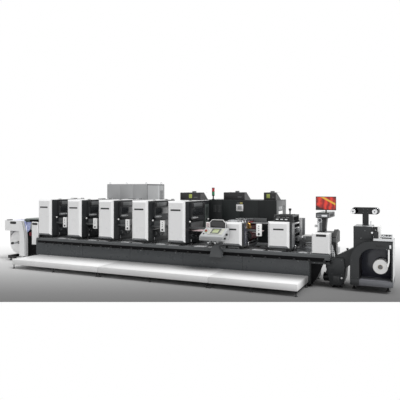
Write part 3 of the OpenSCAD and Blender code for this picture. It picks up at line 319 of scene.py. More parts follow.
def worn_steel(name, color, rough):
    """Ground bench plate: cross-ground lines and oil clouds."""
    s = new_look(name)
    lines = s.noise(s.place((0.6, 14.0, 1.0)), 30.0, 4.0, 0.7)
    cloud = s.noise(s.place(), 3.2, 5.0)
    tone = s.shades(lines, color, 0.86, 1.14)
    tone = s.mix(s.span(cloud, 0.0, 0.55, 0.42, 0.72), tone, tinted(color, 0.72))
    s.finish(tone, s.span(cloud, rough * 0.7, rough * 1.4, 0.3, 0.7),
             s.relief(lines, 0.12, 0.0005), 0.75, 0.5)


def screen_picture(name):
    """A plain colour test picture: wavy red bands, one slanting yellow stripe and dark corners."""
    s = new_look(name)
    low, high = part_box("monitor")
    corner = s.vector("SUBTRACT", s.here(), (low.x, 0.0, high.z))["Vector"]
    waves = s.add("ShaderNodeTexWave", {"Vector": corner, "Scale": 2.6, "Distortion": 6.0, "Detail": 2.0,
                                        "Detail Scale": 2.4}, bands_direction="X")
    flat = s.split(corner)
    slant = s.math("MULTIPLY_ADD", flat["X"], 0.55, flat["Z"])
    stripe = s.math("MULTIPLY", s.span(slant, 0.0, 1.0, 0.030, 0.050), s.span(slant, 1.0, 0.0, 0.066, 0.086))
    field = s.mix(waves.outputs["Fac"], (0.26, 0.006, 0.008), (0.86, 0.045, 0.020))
    field = s.mix(stripe, field, (0.84, 0.50, 0.04))
    field = s.mix(s.span(slant, 1.0, 0.0, -0.185, -0.130), field, (0.030, 0.004, 0.005))
    field = s.mix(s.span(slant, 0.0, 1.0, 0.150, 0.200), field, (0.040, 0.004, 0.006))
    values = {"Base Color": grey(0.01), "Roughness": 0.12, "Emission Color": field, "Emission Strength": 0.85}
    s.end(s.add("ShaderNodeBsdfPrincipled", values).outputs["BSDF"])


def centre_of(node):
    low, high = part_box(node)
    return tuple((low + high) / 2)


# the record's own slots
tread("deck_sheet", (0.80, 0.80, 0.80), 0.3)
paint("black_steel", (0.014, 0.015, 0.016), 0.42, 0.12, dust=0.10)
paint("skirt_paint", (0.050, 0.055, 0.059), 0.30, 0.04, bump=0.04, coat=0.15)
paint("rail_paint", (0.090, 0.095, 0.099), 0.34, 0.04)
worn_steel("bench_steel", (0.40, 0.41, 0.42), 0.3)
paint("dark_paint", (0.026, 0.028, 0.030), 0.40, 0.10, bump=0.18)
# the downward faces of the white paint get painted shade
paint("white_paint", (0.86, 0.862, 0.865), 0.30, 0.015, bump=0.04, under=(0.30, 0.31, 0.32))
paint("hood_paint", (0.036, 0.038, 0.040), 0.34, 0.10)
metal("bright_steel", (0.62, 0.63, 0.64), 0.26, (1.0, 12.0, 1.0), 60.0)
paint("cabinet_grey", (0.36, 0.365, 0.37), 0.42, 0.04, bump=0.16)
plastic("lamp_plastic", (0.05, 0.05, 0.05), 0.28)
paint("console_grey", (0.47, 0.48, 0.485), 0.34, 0.03)
rubber("red_rubber", (0.15, 0.012, 0.020), 0.5)
metal("chrome", (0.78, 0.79, 0.80), 0.12, (1.0, 20.0, 1.0), 40.0, 0.05, 0.04)
metal("guard_steel", (0.36, 0.37, 0.38), 0.32, (1.0, 1.0, 9.0), 50.0)
plastic("screen_plastic", (0.012, 0.012, 0.013), 0.3)
web_paper("paper", (0.88, 0.88, 0.875))
# further finishes of the small parts
rolled_paper("rewind_paper", (0.90, 0.90, 0.895), centre_of("rewind_roll"))
rolled_paper("unwind_paper", (0.97, 0.97, 0.97), centre_of("unwind_roll"))
web_print("web_print", (0.50, 0.55, 0.82), ((0.20, 0.26, 0.60), (0.80, 0.83, 0.93)))
web_paper("lilac_web", (0.60, 0.62, 0.80))
# also used as painted shade in the rail's slot and on the infeed's opening
paint("deep_black", (0.004, 0.004, 0.0045), 0.75, 0.10, specular=0.12)
# painted shade of the unwinder column's rounded edge
paint("edge_shade_grey", (0.60, 0.605, 0.61), 0.34, 0.02, bump=0.04)
paint("cabinet_black", (0.011, 0.013, 0.0135), 0.45, 0.10, specular=0.25)
plastic("black", (0.010, 0.010, 0.011), 0.45)
plastic("soft_black", (0.016, 0.016, 0.017), 0.6, 0.12)
plastic("glass_black", (0.012, 0.013, 0.014), 0.08, 0.01, clear=0.4)
plastic("window", (0.020, 0.022, 0.024), 0.16, 0.01, clear=0.3)
# painted highlight: pale plates standing for the bright reflections on the bench top
metal("highlight_strip", (0.80, 0.81, 0.82), 0.34, (1.0, 10.0, 1.0), 60.0, 0.08, 0.05, 0.35)
plastic("grip_grey", (0.34, 0.35, 0.355), 0.4)
plastic("white_plastic", (0.86, 0.86, 0.855), 0.3)
# painted glow: these white parts give off a little light, though they are no lamp
plastic("white_with_painted_glow", (0.96, 0.96, 0.955), 0.3, 0.02, 0.01, glow=0.12)
plastic("red_plastic", (0.36, 0.012, 0.016), 0.3)
plastic("pink_plastic", (0.74, 0.58, 0.59), 0.35)
web_paper("pink_paper", (0.86, 0.72, 0.72))
plastic("yellow_plastic", (0.80, 0.56, 0.05), 0.35)
plastic("pale_yellow", (0.52, 0.45, 0.16), 0.4)
plastic("sticker", (0.36, 0.42, 0.09), 0.4)
plastic("pale_panel", (0.56, 0.57, 0.47), 0.35)
plastic("lcd", (0.40, 0.45, 0.25), 0.18, 0.01, glow=0.06, clear=0.3)
plastic("key_grey", (0.50, 0.51, 0.50), 0.45)
metal("brass", (0.62, 0.36, 0.10), 0.25, (1.0, 8.0, 1.0), 50.0)
metal("silver", (0.74, 0.75, 0.76), 0.20, (10.0, 1.0, 1.0), 50.0, 0.08)
metal("dark_steel", (0.16, 0.165, 0.17), 0.35, (1.0, 8.0, 1.0), 50.0)
perforated("speckled", (0.62, 0.63, 0.64), 0.034, 0.34, 0.3)
perforated("mesh_guard", (0.46, 0.47, 0.47), 0.013, 0.18, 0.4, 0.1)
perforated("light_guard", (0.74, 0.74, 0.74), 0.013, 0.16, 0.4, 0.1)
paint("panel_blue", (0.050, 0.053, 0.072), 0.24, 0.10, coat=0.2)
paint("base_grey", (0.16, 0.165, 0.18), 0.3, 0.08)
paint("machine_grey", (0.090, 0.094, 0.096), 0.36, 0.10)
paint("green_grey", (0.060, 0.085, 0.075), 0.32, 0.10)
paint("band_grey", (0.135, 0.14, 0.142), 0.32, 0.06)
paint("cabinet_dark", (0.013, 0.0165, 0.0165), 0.45, 0.08, specular=0.25)
paint("cabinet_mid", (0.014, 0.017, 0.017), 0.45, 0.08, specular=0.25)
paint("lip_grey", (0.30, 0.305, 0.31), 0.34, 0.03)
# the lit right end face of the rewinder gets a pale painted highlight
paint("end_painted_highlight", (0.026, 0.028, 0.030), 0.40, 0.10, end=(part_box("rewinder_arch")[1].x, (0.74, 0.75, 0.75)))
paint("floor_grey", (0.25, 0.255, 0.28), 0.4, 0.06)
paint("gear_grey", (0.070, 0.082, 0.078), 0.36, 0.06)
plastic("tick_grey", (0.52, 0.53, 0.53), 0.35)
paint("mid_grey", (0.20, 0.205, 0.21), 0.36, 0.06)
plastic("green_lens", (0.02, 0.22, 0.09), 0.14, 0.01, glow=0.05, clear=0.6)
plastic("red_lens", (0.50, 0.012, 0.02), 0.14, 0.01, glow=0.05, clear=0.6)
plastic("lens", (0.03, 0.03, 0.045), 0.04, 0.0, clear=1.0)
screen_picture("screen")
plastic("hose", (0.012, 0.012, 0.012), 0.5, 0.2)
plastic("cork", (0.42, 0.30, 0.18), 0.7, 0.3, 0.12)

# ---------------------------------------------------------------- geometry helpers


class Box:
    """An upright box with named faces."""

    def __init__(self, low, high):
        self.x0, self.y0, self.z0 = low
        self.x1, self.y1, self.z1 = high
        self.corners = (low, high)

    @property
    def w(self):
        return self.x1 - self.x0

    @property
    def d(self):
        return self.y1 - self.y0

    @property
    def h(self):
        return self.z1 - self.z0

    def x(self, share):
        return self.x0 + share * self.w

    def y(self, share):
        return self.y0 + share * self.d

    def z(self, share):
        return self.z0 + share * self.h


def part(node):
    return Box(*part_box(node))


def parts(node):
    """One box for each separate solid of a node, from left to right, front to back, bottom to top."""
    mesh = frame["nodes"][node].data
    spots = {}
    index = [spots.setdefault(tuple(round(c, 5) for c in v.co), len(spots)) for v in mesh.vertices]
    parent = list(range(len(spots)))

    def find(a):
        while parent[a] != a:
            parent[a] = parent[parent[a]]
            a = parent[a]
        return a

    for face in mesh.polygons:
        first = find(index[face.vertices[0]])
        for corner in face.vertices[1:]:
            parent[find(index[corner])] = first
    groups = {}
    for spot, number in spots.items():
        groups.setdefault(find(number), []).append(spot)
    boxes = [Box([min(c) for c in zip(*group)], [max(c) for c in zip(*group)]) for group in groups.values()]
    return sorted(boxes, key=lambda b: (round(b.x0, 3), round(b.y0, 3), round(b.z0, 3)))


def circle(reach, count, start=0.0):
    """Offsets spaced evenly round a circle."""
    turns = (start + 2 * math.pi * k / count for k in range(count))
    return [(reach * math.cos(a), reach * math.sin(a)) for a in turns]


def leaves(start, run, count, gap):
    """Left and right edges of equal panels side by side along a run."""
    return [(start + k * run / count, start + (k + 1) * run / count - gap) for k in range(count)]


def stud(radius, shoulder, rim, tall):
    """Profile of a round stud: straight up to its shoulder, then in to the rim of its flat top."""
    return [(0, radius), (shoulder, radius), (tall, rim), (tall, 0)]


def half_round(radius):
    """Profile of a ball."""
    steps = 10
    turns = (math.pi * k / steps for k in range(steps + 1))
    return [(radius - radius * math.cos(a), radius * math.sin(a)) for a in turns]


def about(point, axis, degrees):
    """A turn about an axis through a point."""
    here = Matrix.Translation(Vector(point))
    return here @ Matrix.Rotation(math.radians(degrees), 4, axis) @ here.inverted()


ROUNDED_ABOVE = 0.3
SHARP_ABOVE = math.radians(32)


class Kit:
    """Small pieces of the machine gathered in one object, each with its own finish."""

    def __init__(self, name, body=ROOT, slot=None):
        self.name = name
        self.body = body
        self.slot = slot
        self.mesh = bmesh.new()
        self.looks = []

    def take(self, piece, look, turn=None):
        if look not in self.looks:
            self.looks.append(look)
        if turn is not None:
            piece.transform(turn)
        bmesh.ops.recalc_face_normals(piece, faces=piece.faces)
        for face in piece.faces:
            face.material_index = self.looks.index(look)
            face.smooth = True
        mesh = bpy.data.meshes.new("piece")
        piece.to_mesh(mesh)
        piece.free()
        self.mesh.from_mesh(mesh)
        bpy.data.meshes.remove(mesh)

    def box(self, low, high, look, bevel=0.002, turn=None):
        """A block between two opposite corners, with rounded edges."""
        low = Vector(low)
        high = Vector(high)
        piece = bmesh.new()
        bmesh.ops.create_cube(piece, size=1.0)
        size = high - low
        for v in piece.verts:
            v.co = (low + high) / 2 + Vector(c * s for c, s in zip(v.co, size))
        self.soften(piece, min(bevel, 0.45 * min(abs(s) for s in size)))
        self.take(piece, look, turn)

    def soften(self, piece, bevel):
        """Rounds the edges between faces that meet at an angle."""
        if bevel > 0:
            edges = [e for e in piece.edges
                     if len(e.link_faces) == 2 and e.calc_face_angle(0.0) > ROUNDED_ABOVE]
            bmesh.ops.bevel(piece, geom=edges, offset=bevel, segments=2,
                            profile=0.5, affect="EDGES", clamp_overlap=True)

    def prism(self, points, axis, low, high, look, bevel=0.002):
        """A plate with any outline: points are (y, z), (x, z) or (x, y) for axis x, y or z."""
        spot = "xyz".index(axis)
        piece = bmesh.new()
        rims = [[piece.verts.new((*point[:spot], t, *point[spot:])) for point in points] for t in (low, high)]
        piece.faces.new(rims[0])
        piece.faces.new(rims[1][::-1])
        count = len(points)
        for k in range(count):
            nxt = (k + 1) % count
            piece.faces.new((rims[0][k], rims[0][nxt], rims[1][nxt], rims[1][k]))
        bmesh.ops.recalc_face_normals(piece, faces=piece.faces)
        self.soften(piece, bevel)
        self.take(piece, look)

    def ring(self, piece, middle, side, up, radius, sides):
        return [piece.verts.new(middle + radius * (math.cos(a) * side + math.sin(a) * up))
                for a in (2 * math.pi * k / sides for k in range(sides))]

    def turned(self, start, direction, profile, look, sides=32, turn=None):
        """A turned piece: profile lists (distance along direction, radius)."""
        axis = Vector(direction).normalized()
        side = axis.orthogonal().normalized()
        up = axis.cross(side)
        piece = bmesh.new()
        rings = []
        for along, radius in profile:
            middle = Vector(start) + axis * along
            if radius <= 1e-6:
                rings.append([piece.verts.new(middle)])
                continue
            rings.append(self.ring(piece, middle, side, up, radius, sides))
        for a, b in zip(rings, rings[1:]):
            for k in range(sides):
                nxt = (k + 1) % sides
                corners = [a[k % len(a)], a[nxt % len(a)], b[nxt % len(b)], b[k % len(b)]]
                unique = list(dict.fromkeys(corners))
                if len(unique) > 2:
                    piece.faces.new(unique)
        for ring in (rings[0], rings[-1]):
            if len(ring) > 2:
                piece.faces.new(ring)
        self.take(piece, look, turn)

    def rod(self, a, b, radius, look, sides=20):
        """A round bar with slightly softened ends."""
        a = Vector(a)
        b = Vector(b)
        length = (b - a).length
        edge = min(0.12 * radius, length / 4)
        self.turned(a, b - a, [(0, radius - edge), (edge, radius), (length - edge, radius),
                               (length, radius - edge)], look, sides)

    def ball(self, middle, radius, look, sides=20):
        self.turned(Vector(middle) - Vector((0, 0, radius)), (0, 0, 1), half_round(radius), look, sides)

    def tube(self, points, radius, look, sides=10, steps=6):
        """A round bar or hose swept on a smooth curve through the points."""
        spots = [Vector(p) for p in points]
        last = len(spots) - 1
        path = []
        for k in range(last):
            a, b, c, d = (spots[min(max(k + j, 0), last)] for j in (-1, 0, 1, 2))
            for t in (s / steps for s in range(steps)):
                path.append(0.5 * (2 * b + (c - a) * t + (2 * a - 5 * b + 4 * c - d) * t * t
                                   + (3 * b - a - 3 * c + d) * t * t * t))
        path.append(spots[-1])
        piece = bmesh.new()
        rings = []
        side = None
        for k, middle in enumerate(path):
            ahead = path[min(k + 1, len(path) - 1)] - path[max(k - 1, 0)]
            ahead.normalize()
            side = ahead.orthogonal() if side is None else side - ahead * side.dot(ahead)
            side.normalize()
            rings.append(self.ring(piece, middle, side, ahead.cross(side), radius, sides))
        for a, b in zip(rings, rings[1:]):
            for j in range(sides):
                nxt = (j + 1) % sides
                piece.faces.new((a[j], a[nxt], b[nxt], b[j]))
        piece.faces.new(rings[0][::-1])
        piece.faces.new(rings[-1])
        self.take(piece, look)

    def bolt(self, at, direction, radius=0.007, look="dark_steel", height=0.006):
        """A socket-head cap screw, standing on a face."""
        self.turned(at, direction, [(-0.001, radius), (height * 0.8, radius), (height, radius * 0.86),
                                    (height, radius * 0.45), (height * 0.55, radius * 0.42),
                                    (height * 0.55, 0)], look, 12)

    def bolts(self, xs, ys, zs, direction, *how):
        """A bolt at every mix of the places given."""
        for at in product(xs, ys, zs):
            self.bolt(at, direction, *how)

    def row(self, count, step, low, high, look, bevel=0.001):
        """Like boxes at even steps: the corners are those of the first."""
        for k in range(count):
            self.box(*([c + k * s for c, s in zip(corner, step)] for corner in (low, high)), look, bevel)

    def hexagon(self, at, direction, radius, height, look):
        """A hexagon nut or bolt head with softened ends."""
        self.turned(at, direction, [(0, radius * 0.94), (height * 0.12, radius), (height * 0.88, radius),
                                    (height, radius * 0.94)], look, 6)

    def done(self, *replaced):
        mesh = bpy.data.meshes.new(self.name)
        self.mesh.to_mesh(mesh)
        self.mesh.free()
        for look in self.looks:
            mesh.materials.append(LOOKS[look])
        mesh.set_sharp_from_angle(angle=SHARP_ABOVE)
        thing = bpy.data.objects.new(self.name, mesh)
        bpy.context.scene.collection.objects.link(thing)
        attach(thing, self.body)
        if replaced:
            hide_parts(*replaced)


def repaint(node, look):
    mesh = frame["nodes"][node].data
    mesh.materials.clear()
    mesh.materials.append(LOOKS[look])


def dress_frame():
    """Every CAD node gets the finish of its own slot, and the rewinder its own tones, with a pale painted
    highlight on the right end of its arch and housing.
    """
    for row in frame["record"]["subparts"]:
        repaint(row["node"], row["material_slot"])
    repaint("rewinder_base", "base_grey")
    repaint("rewinder_arch", "end_painted_highlight")
    repaint("rewinder_housing", "end_painted_highlight")


OPERATOR = (0, -1, 0)
ALONG = (1, 0, 0)
BACK = (0, 1, 0)
UP = (0, 0, 1)
VENT = (0, 0, 0.022)  # from one vent slot to the next

# ---------------------------------------------------------------- step platform, feet and base


def make_platform():
    """Folded deck sheets with soft lips, in place of the plain CAD ones, and their screws."""
    kit = Kit("platform_sheets", slot="deck_sheet")
    decks = parts("step_decks")
    for deck in decks:
        kit.box(*deck.corners, "deck_sheet", 0.014)
    kit.done("step_decks")
    trim = Kit("platform_trim", slot="bright_steel")
    for deck in decks:
        for x, z in product((deck.x0 + 0.03, deck.x1 - 0.03), (deck.z0 + 0.025, deck.z1 - 0.03)):
            trim.turned((x, deck.y0 + 0.0001, z), BACK,
                        [(0, 0.004), (-0.0004, 0.006), (0.002, 0.007)], "bright_steel", 12)
        run = int(deck.w / 0.5)
        for k in range(run):
            x = deck.x0 + (k + 0.5) * deck.w / run
            trim.turned((x, deck.y1 - 0.03, deck.z1 - 0.001), UP,
                        [(0, 0.007), (0.0014, 0.006), (0.0015, 0)], "bright_steel", 12)
    trim.done()


def make_feet():
    """Screw feet: flared pad, threaded stem and lock nut."""
    kit = Kit("screw_feet", slot="black_steel")
    for foot in parts("levelling_feet"):
        x = foot.x(0.5)
        y = foot.y(0.5)
        pad = foot.w / 2
        stem = pad * 0.40
        rise = min(0.26 * foot.h, 0.022)
        kit.turned((x, y, foot.z0), UP, [(0, pad * 0.97), (0.002, pad), (rise * 0.45, pad),
                                         (rise * 0.75, pad * 0.8), (rise, stem * 1.3), (rise * 1.25, stem)],
                   "soft_black")
        turns = max(3, int((foot.h - rise) / 0.004))
        step = (foot.h - rise) / turns
        thread = []
        for k in range(turns):
            thread += [(rise + k * step, stem * 0.86), (rise + (k + 0.5) * step, stem)]
        kit.turned((x, y, foot.z0), UP, thread + [(foot.h, stem * 0.86)], "soft_black", 16)
        nut = min(0.012, 0.3 * foot.h)
        kit.hexagon((x, y, foot.z1 - nut - 0.001), UP, stem * 1.55, nut, "soft_black")
    kit.done("levelling_feet")


def make_base():
    """Black strip painted as the shadow in the slot under the rail, with knobs along it, panel screws, and the
    bench's pads and pale plates painted as the bench top's highlights.
    """
    kit = Kit("rail_parts", slot="black_steel")
    rail = part("bench_rail")
    bench = part("bench_top")
    console = part("console_bracket")
    slot = (0.522, 0.582)
    proud = 0.0012
    # black strip in the slot under the rail: painted shadow
    for x0, x1 in ((rail.x0 - 0.040, console.x0 - 0.002), (console.x1 + 0.002, rail.x1 - 0.085)):
        kit.box((x0, rail.y0 - proud, slot[0]), (x1, rail.y0 + 0.034, slot[1]), "deep_black", 0.001)
    pitch = 0.286
    for k in range(int(rail.w / pitch)):
        x = rail.x0 + 0.21 + k * pitch
        if console.x0 - 0.05 < x < console.x1 + 0.05 or x > rail.x1 - 0.05:
            continue
        kit.turned((x, rail.y0 - proud, slot[0] + 0.002), OPERATOR,
                   [(-0.02, 0.018), (0.012, 0.018), (0.0135, 0.0205), (0.018, 0.0205), (0.0195, 0.018),
                    (0.0195, 0.009), (0.016, 0.008), (0.016, 0)], "black", 24)
    for panel in parts("base_skirt"):
        xs = (panel.x0 + 0.035, panel.x(0.5), panel.x1 - 0.035)
        for x, z in product(xs, (panel.z0 + 0.03, panel.z1 - 0.022)):
            kit.turned((x, panel.y0 + 0.0005, z), OPERATOR, [(0, 0.007), (0.0026, 0.0062), (0.003, 0.003),
                       (0.0012, 0.0028), (0.0012, 0)], "dark_steel", 12)
    speck = 0.89
    for k in range(int(rail.w / speck)):
        x = rail.x0 + 0.34 + k * speck
        kit.turned((x, rail.y0 + 0.0305, rail.z0 + 0.266), OPERATOR,
                   [(0, 0.009), (0.002, 0.008), (0.003, 0.004), (0.0016, 0.003), (0.0016, 0)],
                   "grip_grey", 16)
    # end cap that carries the rail and the skirt past the first unit, with a rounded top corner
    reach = 0.089
    round_top = 0.040
    corner = [(rail.x0 - reach + round_top * (1 - math.cos(a)), rail.z1 - round_top * (1 - math.sin(a)))
              for a in (math.pi / 2 * k / 8 for k in range(9))]
    kit.prism(corner + [(rail.x0, rail.z1), (rail.x0, slot[1]), (rail.x0 - reach, slot[1])], "y",
              rail.y0, rail.y0 + 0.029, "rail_paint", 0.0)
    kit.box((rail.x0 - reach, rail.y0, rail.z0 + 0.002),
            (rail.x0 + 0.001, rail.y0 + 0.029, slot[1] + 0.002), "skirt_paint", 0.0)
    # slight taper that carries the end plate's face into the skirt
    skirt = part("base_skirt")
    kit.prism([(rail.x0 - 0.002, rail.y0 - 0.0004), (rail.x0 + 0.058, rail.y0 - 0.0004),
               (rail.x0 + 0.95, skirt.y0 - 0.0002), (rail.x0 + 0.95, skirt.y0 + 0.002),
               (rail.x0 - 0.002, skirt.y0 + 0.002)], "z",
              rail.z0 + 0.001, slot[0] + 0.002, "skirt_paint", 0.0)
    kit.done()
    top = Kit("bench_parts", slot="bench_steel")
    covers = parts("unit_covers") + parts("station_covers")[1:3]
    foot = [(0, 0.046), (0.004, 0.048), (0.018, 0.048), (0.022, 0.042), (0.022, 0.020), (0.046, 0.018),
            (0.048, 0.014), (0.048, 0)]
    for x in (x for cover in covers for x in (cover.x0 + 0.05, cover.x1 + 0.055)):
        top.turned((x, rail.y0 + 0.26, bench.z1), UP, foot, "black", 28)
    ends = [c.x0 for c in covers[1:]] + [rail.x1 - 0.36]
    for cover, end in zip(covers, ends):
        start = cover.x1 + 0.09
        span = end - start
        # pale plates between the pads, painted as the bench top's highlights
        for low, high, y0, y1 in ((0.28, 0.80, 0.070, 0.215), (1.02, 1.62, 0.055, 0.190)):
            x0 = start + low * min(span, 0.46)
            x1 = min(start + high * min(span, 0.46), rail.x1 - 0.37)
            top.box((x0, rail.y0 + y0, bench.z1 - 0.001),
                    (x1, rail.y0 + y1, bench.z1 + 0.007), "highlight_strip")
            top.bolts((x0 + 0.02, x1 - 0.02), [rail.y0 + (y0 + y1) / 2], [bench.z1 + 0.006], UP, 0.008)
        top.turned((start + 0.42, rail.y0 + 0.25, bench.z1),
                   UP, stud(0.034, 0.018, 0.030, 0.022), "black", 24)
    top.done()


# ---------------------------------------------------------------- printing units


def badge(kit, x0, x1, z, y, tall=0.034):
    """A dark name-plate bar, left bare."""
    kit.box((x0, y - 0.0025, z - tall / 2), (x1, y, z + tall / 2), "black", 0.001)


def ball_knob(kit, x, y, z, reach):
    """White ball on a black hub, pointing along +X."""
    radius = 0.019
    kit.turned((x, y, z), ALONG, [(-0.002, radius * 1.05), (0.008, radius * 1.05), (0.012, radius * 0.75),
                                  (reach - 1.6 * radius, radius * 0.5), (reach - 1.5 * radius, radius * 0.5)],
               "black", 24)
    kit.turned((x + reach - 2 * radius, y, z), ALONG, half_round(radius), "white_plastic", 24)


def clamp_lever(kit, hand):
    """Bright C-shaped clamp lever on a black boss."""
    boss = hand.w * 0.4
    x = hand.x0
    y = hand.y(0.5)
    z = hand.z1 - hand.d / 2
    kit.turned((x, y, z), ALONG, stud(0.010, boss, 0.008, boss + 0.003), "black", 20)
    low = hand.z0 + 0.006
    reach = hand.x1 - 0.006
    kit.tube([(x + boss, y, z), (reach - 0.004, y, z - 0.004), (reach, y, (z + low) / 2),
              (reach - 0.006, y, low + 0.004), (x + boss * 0.9, y, low)], 0.0055, "chrome", 10, 8)


def make_unit_covers():
    """Badges, hinges and catches of the white covers, and black strips painted as the shadow in the gaps at
    their sides.
    """
    kit = Kit("cover_plates", slot="black_steel")
    for cover in parts("unit_covers"):
        badge(kit, cover.x(0.20), cover.x(0.79), cover.z1 - 0.198, cover.y0)
        # black strips at both sides of the cover: painted shadow in the gaps
        kit.box((cover.x1 - 0.030, cover.y0 + 0.060, cover.z0),
                (cover.x1 - 0.001, cover.y0 + 0.072, cover.z1 - 0.013), "black", 0.001)
        kit.box((cover.x0 - 0.0006, cover.y0 + 0.058, cover.z0 + 0.004), (cover.x0 + 0.012, cover.y0 + 0.066,
                cover.z1 - 0.013), "black", 0.001)
        for y in (0.34, 0.93):
            kit.box((cover.x1 - 0.050, cover.y0 + y, cover.z1 - 0.001),
                    (cover.x1 - 0.004, cover.y0 + y + 0.085, cover.z1 + 0.008), "black", 0.003)
            kit.turned((cover.x1 - 0.028, cover.y0 + y + 0.042, cover.z1 + 0.007), UP,
                       stud(0.012, 0.006, 0.009, 0.008), "dark_steel", 16)
        kit.box((cover.x1 - 0.036, cover.y0 + 1.20, cover.z1 - 0.001), (cover.x1 - 0.002, cover.y0 + 1.30,
                cover.z1 + 0.014), "black", 0.005)
        kit.box((cover.x0 + 0.09, cover.y0 + 1.12, cover.z1 - 0.001), (cover.x0 + 0.21, cover.y0 + 1.28,
                cover.z1 + 0.010), "black", 0.004)
    kit.done()


def make_unit_hoods():
    """End blocks, light band, window and grip of each hood, and the lip of the tray below it."""
    kit = Kit("hood_parts", slot="hood_paint")
    hoods = parts("unit_hoods")
    for tray, hood in zip(hoods[0::2], hoods[1::2]):
        face = hood.x1
        out = 0.003
        band0 = hood.z1 - 0.088
        for y0, y1 in ((hood.y0 + 0.004, hood.y0 + 0.085), (hood.y1 - 0.085, hood.y1 - 0.004)):
            kit.box((face - 0.010, y0, band0 - 0.012),
                    (face + 0.020, y1, hood.z1 - 0.004), "soft_black", 0.004)
            kit.bolt((face + 0.020, (y0 + y1) / 2, hood.z1 - 0.045), ALONG, 0.010, "black")
        kit.box((face - 0.004, hood.y0 + 0.088, band0),
                (face + out, hood.y1 - 0.088, hood.z1 - 0.006), "band_grey", 0.003)
        # pale backing behind the grab bar
        kit.box((face - 0.004, hood.y0 + 0.015, hood.z0 + 0.040),
                (face + 0.0012, hood.y0 + 0.270, hood.z0 + 0.088), "grip_grey", 0.001)
        kit.box((face - 0.004, hood.y0 + 0.06, hood.z0 + 0.128),
                (face + out, hood.y1 - 0.06, band0 - 0.045), "window", 0.006)
        kit.box((face - 0.004, hood.y0 + 0.045, hood.z0 + 0.113),
                (face + 0.0015, hood.y1 - 0.045, band0 - 0.030), "black", 0.003)
        kit.bolts([face], (hood.y0 + 0.03, hood.y1 - 0.03), (hood.z0 + 0.05, hood.z0 + 0.25), ALONG)
        kit.box((tray.x1 - 0.004, tray.y0 + 0.02, tray.z0 + 0.035),
                (tray.x1 + 0.004, tray.y1 - 0.02, tray.z1 - 0.020), "machine_grey", 0.004)
        lip = [(tray.y0 + 0.01 + k * (tray.d - 0.02) / 12,
                tray.z0 - 0.005 - 0.022 * math.sin(math.pi * k / 12)) for k in range(13)]
        kit.tube([(tray.x1 + 0.004, y, z + 0.026) for y, z in lip], 0.009, "black", 10, 2)
        kit.box((tray.x1 - 0.03, tray.y0 + 0.002, tray.z1 + 0.001), (tray.x1 + 0.002, tray.y1 - 0.002,
                hood.z0 - 0.001), "black")
    kit.done()


def make_unit_sides():
    """Switches, roller ends, an ink hose and the gear housing on the dark side of each unit."""
    kit = Kit("unit_side_parts", slot="dark_paint")
    covers = parts("unit_covers")
    hoods = parts("unit_hoods")
    for number, cover in enumerate(covers):
        tray = hoods[2 * number]
        hood = hoods[2 * number + 1]
        side = part("unit_frame_%d" % (number + 1)).x1 - 0.014
        near = cover.y0 + 0.075
        far = hood.y0 - 0.012
        # front-frame strip with a slim switch strip
        kit.box((side - 0.002, near, cover.z0 + 0.05), (side + 0.004, far, cover.z1 - 0.030), "machine_grey")
        column = (near + far) / 2 - 0.02
        kit.box((side + 0.003, column - 0.050, cover.z1 - 0.335),
                (side + 0.006, column + 0.042, cover.z1 - 0.085), "hood_paint")
        for k in range(4):
            z = cover.z1 - 0.125 - k * 0.050
            kit.box((side + 0.005, column - 0.044, z - 0.015),
                    (side + 0.010, column - 0.014, z + 0.018), "tick_grey", 0.001)
            kit.box((side + 0.005, column + 0.004, z - 0.010), (side + 0.010, column + 0.034, z + 0.014),
                    "yellow_plastic" if number == 3 and k in (2, 3) else "tick_grey", 0.001)
        kit.bolts([side + 0.004], (near + 0.018, far - 0.018),
                  (cover.z0 + 0.09, cover.z(0.33), cover.z1 - 0.055), ALONG)
        # roller ends and a side plate under the tray
        low = cover.z0 + 0.03
        kit.box((side - 0.002, hood.y0 + 0.02, low),
                (side + 0.006, hood.y1 - 0.02, tray.z0 - 0.030), "hood_paint", 0.003)
        for y, z, r in ((hood.y0 + 0.12, low + 0.10, 0.036), (hood.y0 + 0.34, low + 0.07, 0.028),
                        (hood.y0 + 0.52, low + 0.11, 0.036)):
            kit.turned((side + 0.004, y, z), ALONG, [(0, r * 1.25), (0.008, r * 1.25), (0.010, r * 1.1),
                    (0.010, r), (0.020, r * 0.96), (0.022, r * 0.5), (0.018, r * 0.4), (0.018, 0)],
                       "dark_steel", 28)
            for dy, dz in circle(r * 1.12, 6):
                kit.bolt((side + 0.010, y + dy, z + dz), ALONG, 0.004)
        kit.tube([(side + 0.012, hood.y0 + 0.42, low + 0.03), (side + 0.030, hood.y0 + 0.44, low + 0.09),
                  (side + 0.028, hood.y0 + 0.47, low + 0.17), (side + 0.012, hood.y0 + 0.47, low + 0.215)],
                 0.008, "hose")
        # gear housing with its vents, behind the hood
        gear0 = hood.y1 + 0.03
        gear1 = cover.y1 - 0.03
        kit.box((side - 0.002, gear0 + 0.10, cover.z0 + 0.08), (side + 0.018, gear1, cover.z1 - 0.10),
                "gear_grey" if number == len(covers) - 1 else "dark_paint", 0.006)
        kit.bolts([side + 0.018], (gear0 + 0.125, gear1 - 0.025), map(cover.z, (0.12, 0.5, 0.86)), ALONG)
        kit.row(9, VENT, (side + 0.016, gear0 + 0.145, cover.z(0.60)),
                (side + 0.022, gear1 - 0.045, cover.z(0.60) + 0.009), "black")
    kit.done()


